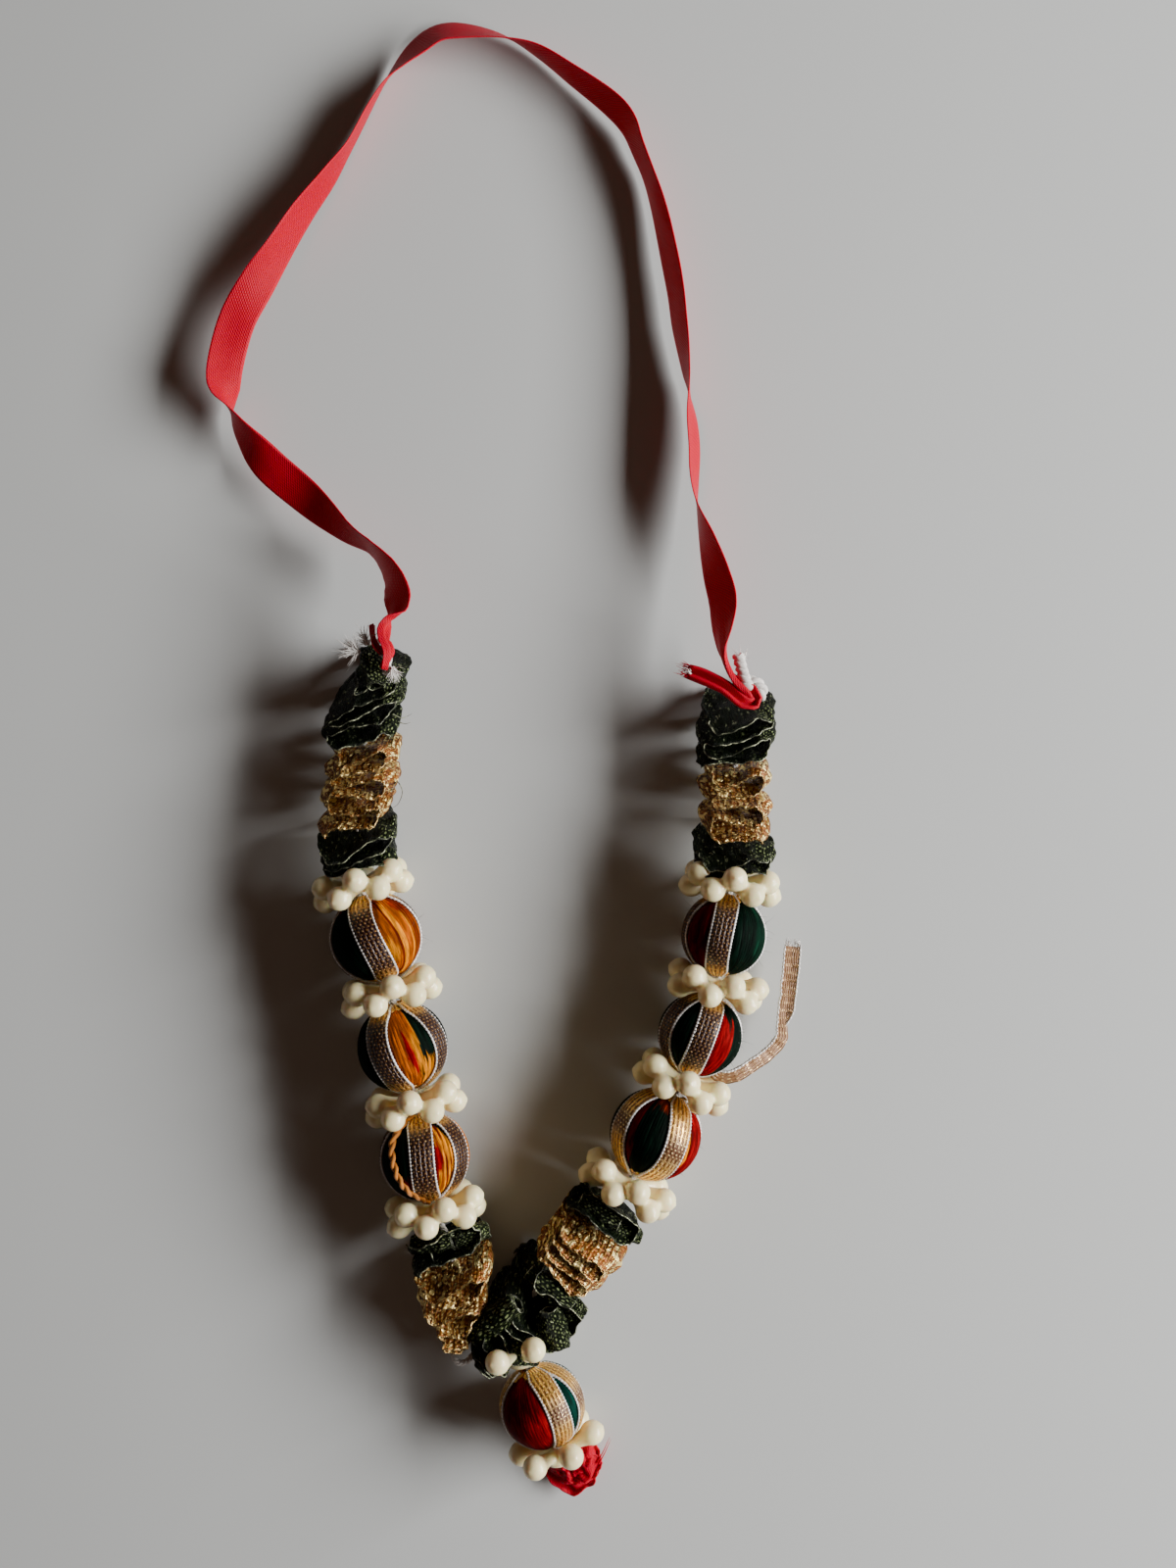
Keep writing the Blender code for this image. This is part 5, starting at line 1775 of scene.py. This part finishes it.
class GARLAND_OT_pendant_knot(bpy.types.Operator):
    """The folded red ribbon under the pendant, with a loose thread"""

    bl_idname = "garland.pendant_knot"
    bl_label = "Pendant knot"

    def execute(self, context):
        settings = context.scene.garland_ribbon
        bm = empty_sheets()
        for route, gather, scale, depth, shift in KNOT_FOLDS:
            band = band_shape(smooth_route(route, 0.3), settings, gather)
            sheet = laid_sheet(*KNOT_GRID, crumpled(band, scale, depth, shift))
            take_in(bm, thickened(sheet, settings.thickness))
        take_in(bm, thickened(laid_sheet(*WAD_GRID, wad_shape(settings)), settings.thickness))
        thread = [Vector(point) for point in KNOT_THREAD]
        beside = [point + Vector((0.2, -0.3, 0.1)) for point in thread]
        take_in(bm, threads([tapered(thread), tapered(beside)], 0.14, 1))
        add_piece("pendant_knot_folded", bm, [red_satin(settings)], ["pendant_knot"])
        return {"FINISHED"}


class GARLAND_OT_cords(bpy.types.Operator):
    """The twisted cotton cords and the frayed tufts at their ends"""

    bl_idname = "garland.cords"
    bl_label = "Cotton cords"

    def execute(self, context):
        settings = context.scene.garland_cotton
        cotton = soft_fibre("cotton_white_twisted", settings.colour)
        cords = (("strand_cord", STRAND_CORD_ROUTE), ("pendant_cord", pendant_cord_route()))
        for name, route in cords:
            bm = twisted_cord(smooth_route(route, 0.4), settings.strand_radius, settings.twist)
            add_piece(name + "_twisted", bm, [cotton], [name])
        rng = random.Random(TUFT_SEED)
        paths = []
        for start, direction, count, length in TUFTS:
            paths.extend(tuft(start, direction, count, length, rng))
        bm = threads(paths, 0.12)
        for route in COTTON_STUBS:
            radius, twist = settings.strand_radius * STUB_RADIUS, settings.twist * STUB_TWIST
            take_in(bm, twisted_cord(smooth_route(route, 0.3), radius, twist))
        add_piece("frayed_cotton", bm, [cotton])
        return {"FINISHED"}


class GARLAND_OT_frills(bpy.types.Operator):
    """The pleated green satin and gold ribbons on the cord"""

    bl_idname = "garland.frills"
    bl_label = "Pleated frills"

    def execute(self, context):
        settings = context.scene.garland_frills
        satin = [green_satin(settings), metal_thread("rim_green", RIM_GREEN, 0.35, 0.3, 0.06)]
        lurex = [gold_lurex(settings), metal_thread("rim_gold", RIM_GOLD, 0.25, 0.85, 0.25)]
        for seed, spec in enumerate(FRILLS):
            ribbon = Frill(spec, seed, settings)
            bm = ribbon.mesh()
            self.add_rolls(bm, FRILL_ROLLS.get(ribbon.name, ()), settings)
            add_piece(
                ribbon.name + "_pleated", bm, lurex if ribbon.gold else satin, [ribbon.name]
            )
        paths = [tapered([Vector(p) for p in smooth_route(route, 0.4)]) for route in GREEN_THREADS]
        add_piece("green_thread_ends", threads(paths, 0.13, 1), [satin[1]])
        return {"FINISHED"}

    def add_rolls(self, bm, rolls, settings):
        """Adds the rolled folds of one frill, with a thread along their edges."""
        for seed, (start, end, radius) in enumerate(rolls):
            shape = ribbon_roll(start, end, radius, seed)
            take_in(bm, thickened(laid_sheet(*ROLL_GRID, shape), settings.thickness))
            take_in(bm, threads(edge_threads(shape, 110, 2.0), settings.rim), 1)


class GARLAND_OT_spacers(bpy.types.Operator):
    """The moulded ivory spacers of both strands and the pendant"""

    bl_idname = "garland.spacers"
    bl_label = "Moulded spacers"

    def execute(self, context):
        settings = context.scene.garland_plastic
        plastic = ivory_plastic(settings)
        for side, spacers in (("left", LEFT_SPACERS), ("right", RIGHT_SPACERS)):
            centres = [Vector((*plan, BEAD_HEIGHT)) for plan, _ in spacers]
            for index, (centre, (_, turn)) in enumerate(zip(centres, spacers)):
                run = centres[min(len(centres) - 1, index + 1)] - centres[max(0, index - 1)]
                bm = spacer_mesh(centre, run, strand_spacer_arms(turn), settings)
                name = f"spacer_{side}_{index + 1}"
                add_piece(name + "_moulded", bm, [plastic], [name])
        for end, centre, (offset, tip, turn), angles in (
            ("top", PENDANT_TOP, PENDANT_TOP_LEAN, PENDANT_TOP_ARMS),
            ("foot", PENDANT_FOOT, PENDANT_FOOT_LEAN, PENDANT_FOOT_ARMS),
        ):
            run = droop(PENDANT_DIRECTION, tip)
            bm = spacer_mesh(centre, run, [(angle + turn, offset) for angle in angles], settings)
            name = "spacer_pendant_" + end
            add_piece(name + "_moulded", bm, [plastic], [name])
        return {"FINISHED"}


class GARLAND_OT_wool(bpy.types.Operator):
    """The wound wool of every ball, by sector, and the yarn and hairs that lie on it"""

    bl_idname = "garland.wool"
    bl_label = "Wound wool"

    def execute(self, context):
        settings = context.scene.garland_wool
        wool = silky_wool("wool_wound")
        for spec in BALLS:
            ball = Ball(*spec)
            for base, low, high in ball.sectors:
                bm = wool_sheet(ball, base, low, high, settings)
                node = f"{ball.name}_wool_{base}"
                add_piece(node + "_wound", bm, [wool], [node])
        self.add_yarn()
        self.add_hairs()
        return {"FINISHED"}

    def add_yarn(self):
        """Two twisted strands of yellow yarn across one ball."""
        ball = ball_named(YARN_BALL)
        route = [ball.point(BALL_RADIUS + 0.38, polar, azimuth) for azimuth, polar in CROSSING_YARN]
        points = [Vector(point) for point in smooth_route(route, 0.25)]
        strands = [[], []]
        for index, point in enumerate(points):
            turn = index * 0.42
            offset = Vector((math.cos(turn), 0.0, math.sin(turn))) * 0.3
            strands[0].append((point + offset, 1.0))
            strands[1].append((point - offset, 1.0))
        yarn = soft_fibre("wool_yellow_yarn", YARN)
        add_piece("crossing_yarn", threads(strands, 0.34, 2), [yarn])

    def add_hairs(self):
        """Short hairs that stand off the wool of a few balls."""
        rng = random.Random(HAIR_SEED)
        paths = []
        for name, low, high in HAIR_PLACES:
            ball = ball_named(name)
            for _ in range(HAIRS_EACH):
                azimuth, polar = rng.uniform(low, high), rng.uniform(30, 150)
                root = ball.point(BALL_RADIUS, polar, azimuth)
                out = (root - ball.axes.translation).normalized()
                bend = jitter(rng, 0.8)
                reach = rng.uniform(0.4, 1.5)
                points = [
                    root + out * reach * t + bend * reach * t * t for t in (0.0, 0.35, 0.7, 1.0)
                ]
                paths.append(tapered([kept_above(point, "fibre") for point in points]))
        hair = soft_fibre("wool_hair", HAIR)
        add_piece("wool_hairs", threads(paths, 0.035), [hair])


class GARLAND_OT_strips(bpy.types.Operator):
    """The woven gold strips of every ball, with their pale edge threads"""

    bl_idname = "garland.strips"
    bl_label = "Woven strips"

    def execute(self, context):
        settings = context.scene.garland_strips
        finishes = [
            woven_strip("strip_gold_woven", settings.ground, settings.metal, 5.6),
            metal_thread("strip_edge_silver", settings.silver, 0.32, 0.25, 0.7),
            woven_strip("strip_gold_faded", *FADED_STRIP, 1.5),
        ]
        bright = [woven_strip("strip_gold_bright", *BRIGHT_STRIP), *finishes[1:]]
        for spec in BALLS:
            ball = Ball(*spec)
            bm = strips_mesh(ball, settings)
            if ball.name == LOOSE_STRIP_BALL:
                take_in(bm, loose_strip(settings), None)
            node = ball.name + "_strips"
            lined = ball.name in BRIGHT_STRIP_BALLS
            add_piece(node + "_woven", bm, bright if lined else finishes, [node])
        return {"FINISHED"}


class GARLAND_OT_cores(bpy.types.Operator):
    """Grain on the core beads, which keep their solids from the frame"""

    bl_idname = "garland.cores"
    bl_label = "Core beads"

    def execute(self, context):
        wood = turned_wood()
        for name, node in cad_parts.items():
            if name.endswith("_core"):
                node.data.materials.clear()
                node.data.materials.append(wood)
        return {"FINISHED"}


class GARLAND_PT_panel(bpy.types.Panel):
    """Lists the pieces of the garland in the order they are made"""

    bl_idname = "GARLAND_PT_panel"
    bl_label = "Garland"
    bl_space_type = "VIEW_3D"
    bl_region_type = "UI"
    bl_category = "Garland"

    def draw(self, context):
        for name in SETTINGS:
            box = self.layout.box()
            settings = getattr(context.scene, name)
            for prop in settings.__annotations__:
                box.prop(settings, prop)
        for operator in OPERATORS:
            self.layout.operator(operator.bl_idname)


OPERATORS = (
    GARLAND_OT_studio,
    GARLAND_OT_loop_ribbon,
    GARLAND_OT_pendant_knot,
    GARLAND_OT_cords,
    GARLAND_OT_frills,
    GARLAND_OT_spacers,
    GARLAND_OT_wool,
    GARLAND_OT_strips,
    GARLAND_OT_cores,
)
CLASSES = (*SETTINGS.values(), *OPERATORS, GARLAND_PT_panel)


def register():
    for made in CLASSES:
        bpy.utils.register_class(made)
    for name, settings in SETTINGS.items():
        setattr(bpy.types.Scene, name, PointerProperty(type=settings))


def unregister():
    for name in SETTINGS:
        delattr(bpy.types.Scene, name)
    for made in reversed(CLASSES):
        bpy.utils.unregister_class(made)


def main():
    register()
    for operator in OPERATORS:
        category, action = operator.bl_idname.split(".")
        getattr(getattr(bpy.ops, category), action)()
    bpy.context.view_layer.update()


if __name__ == "__main__":
    main()
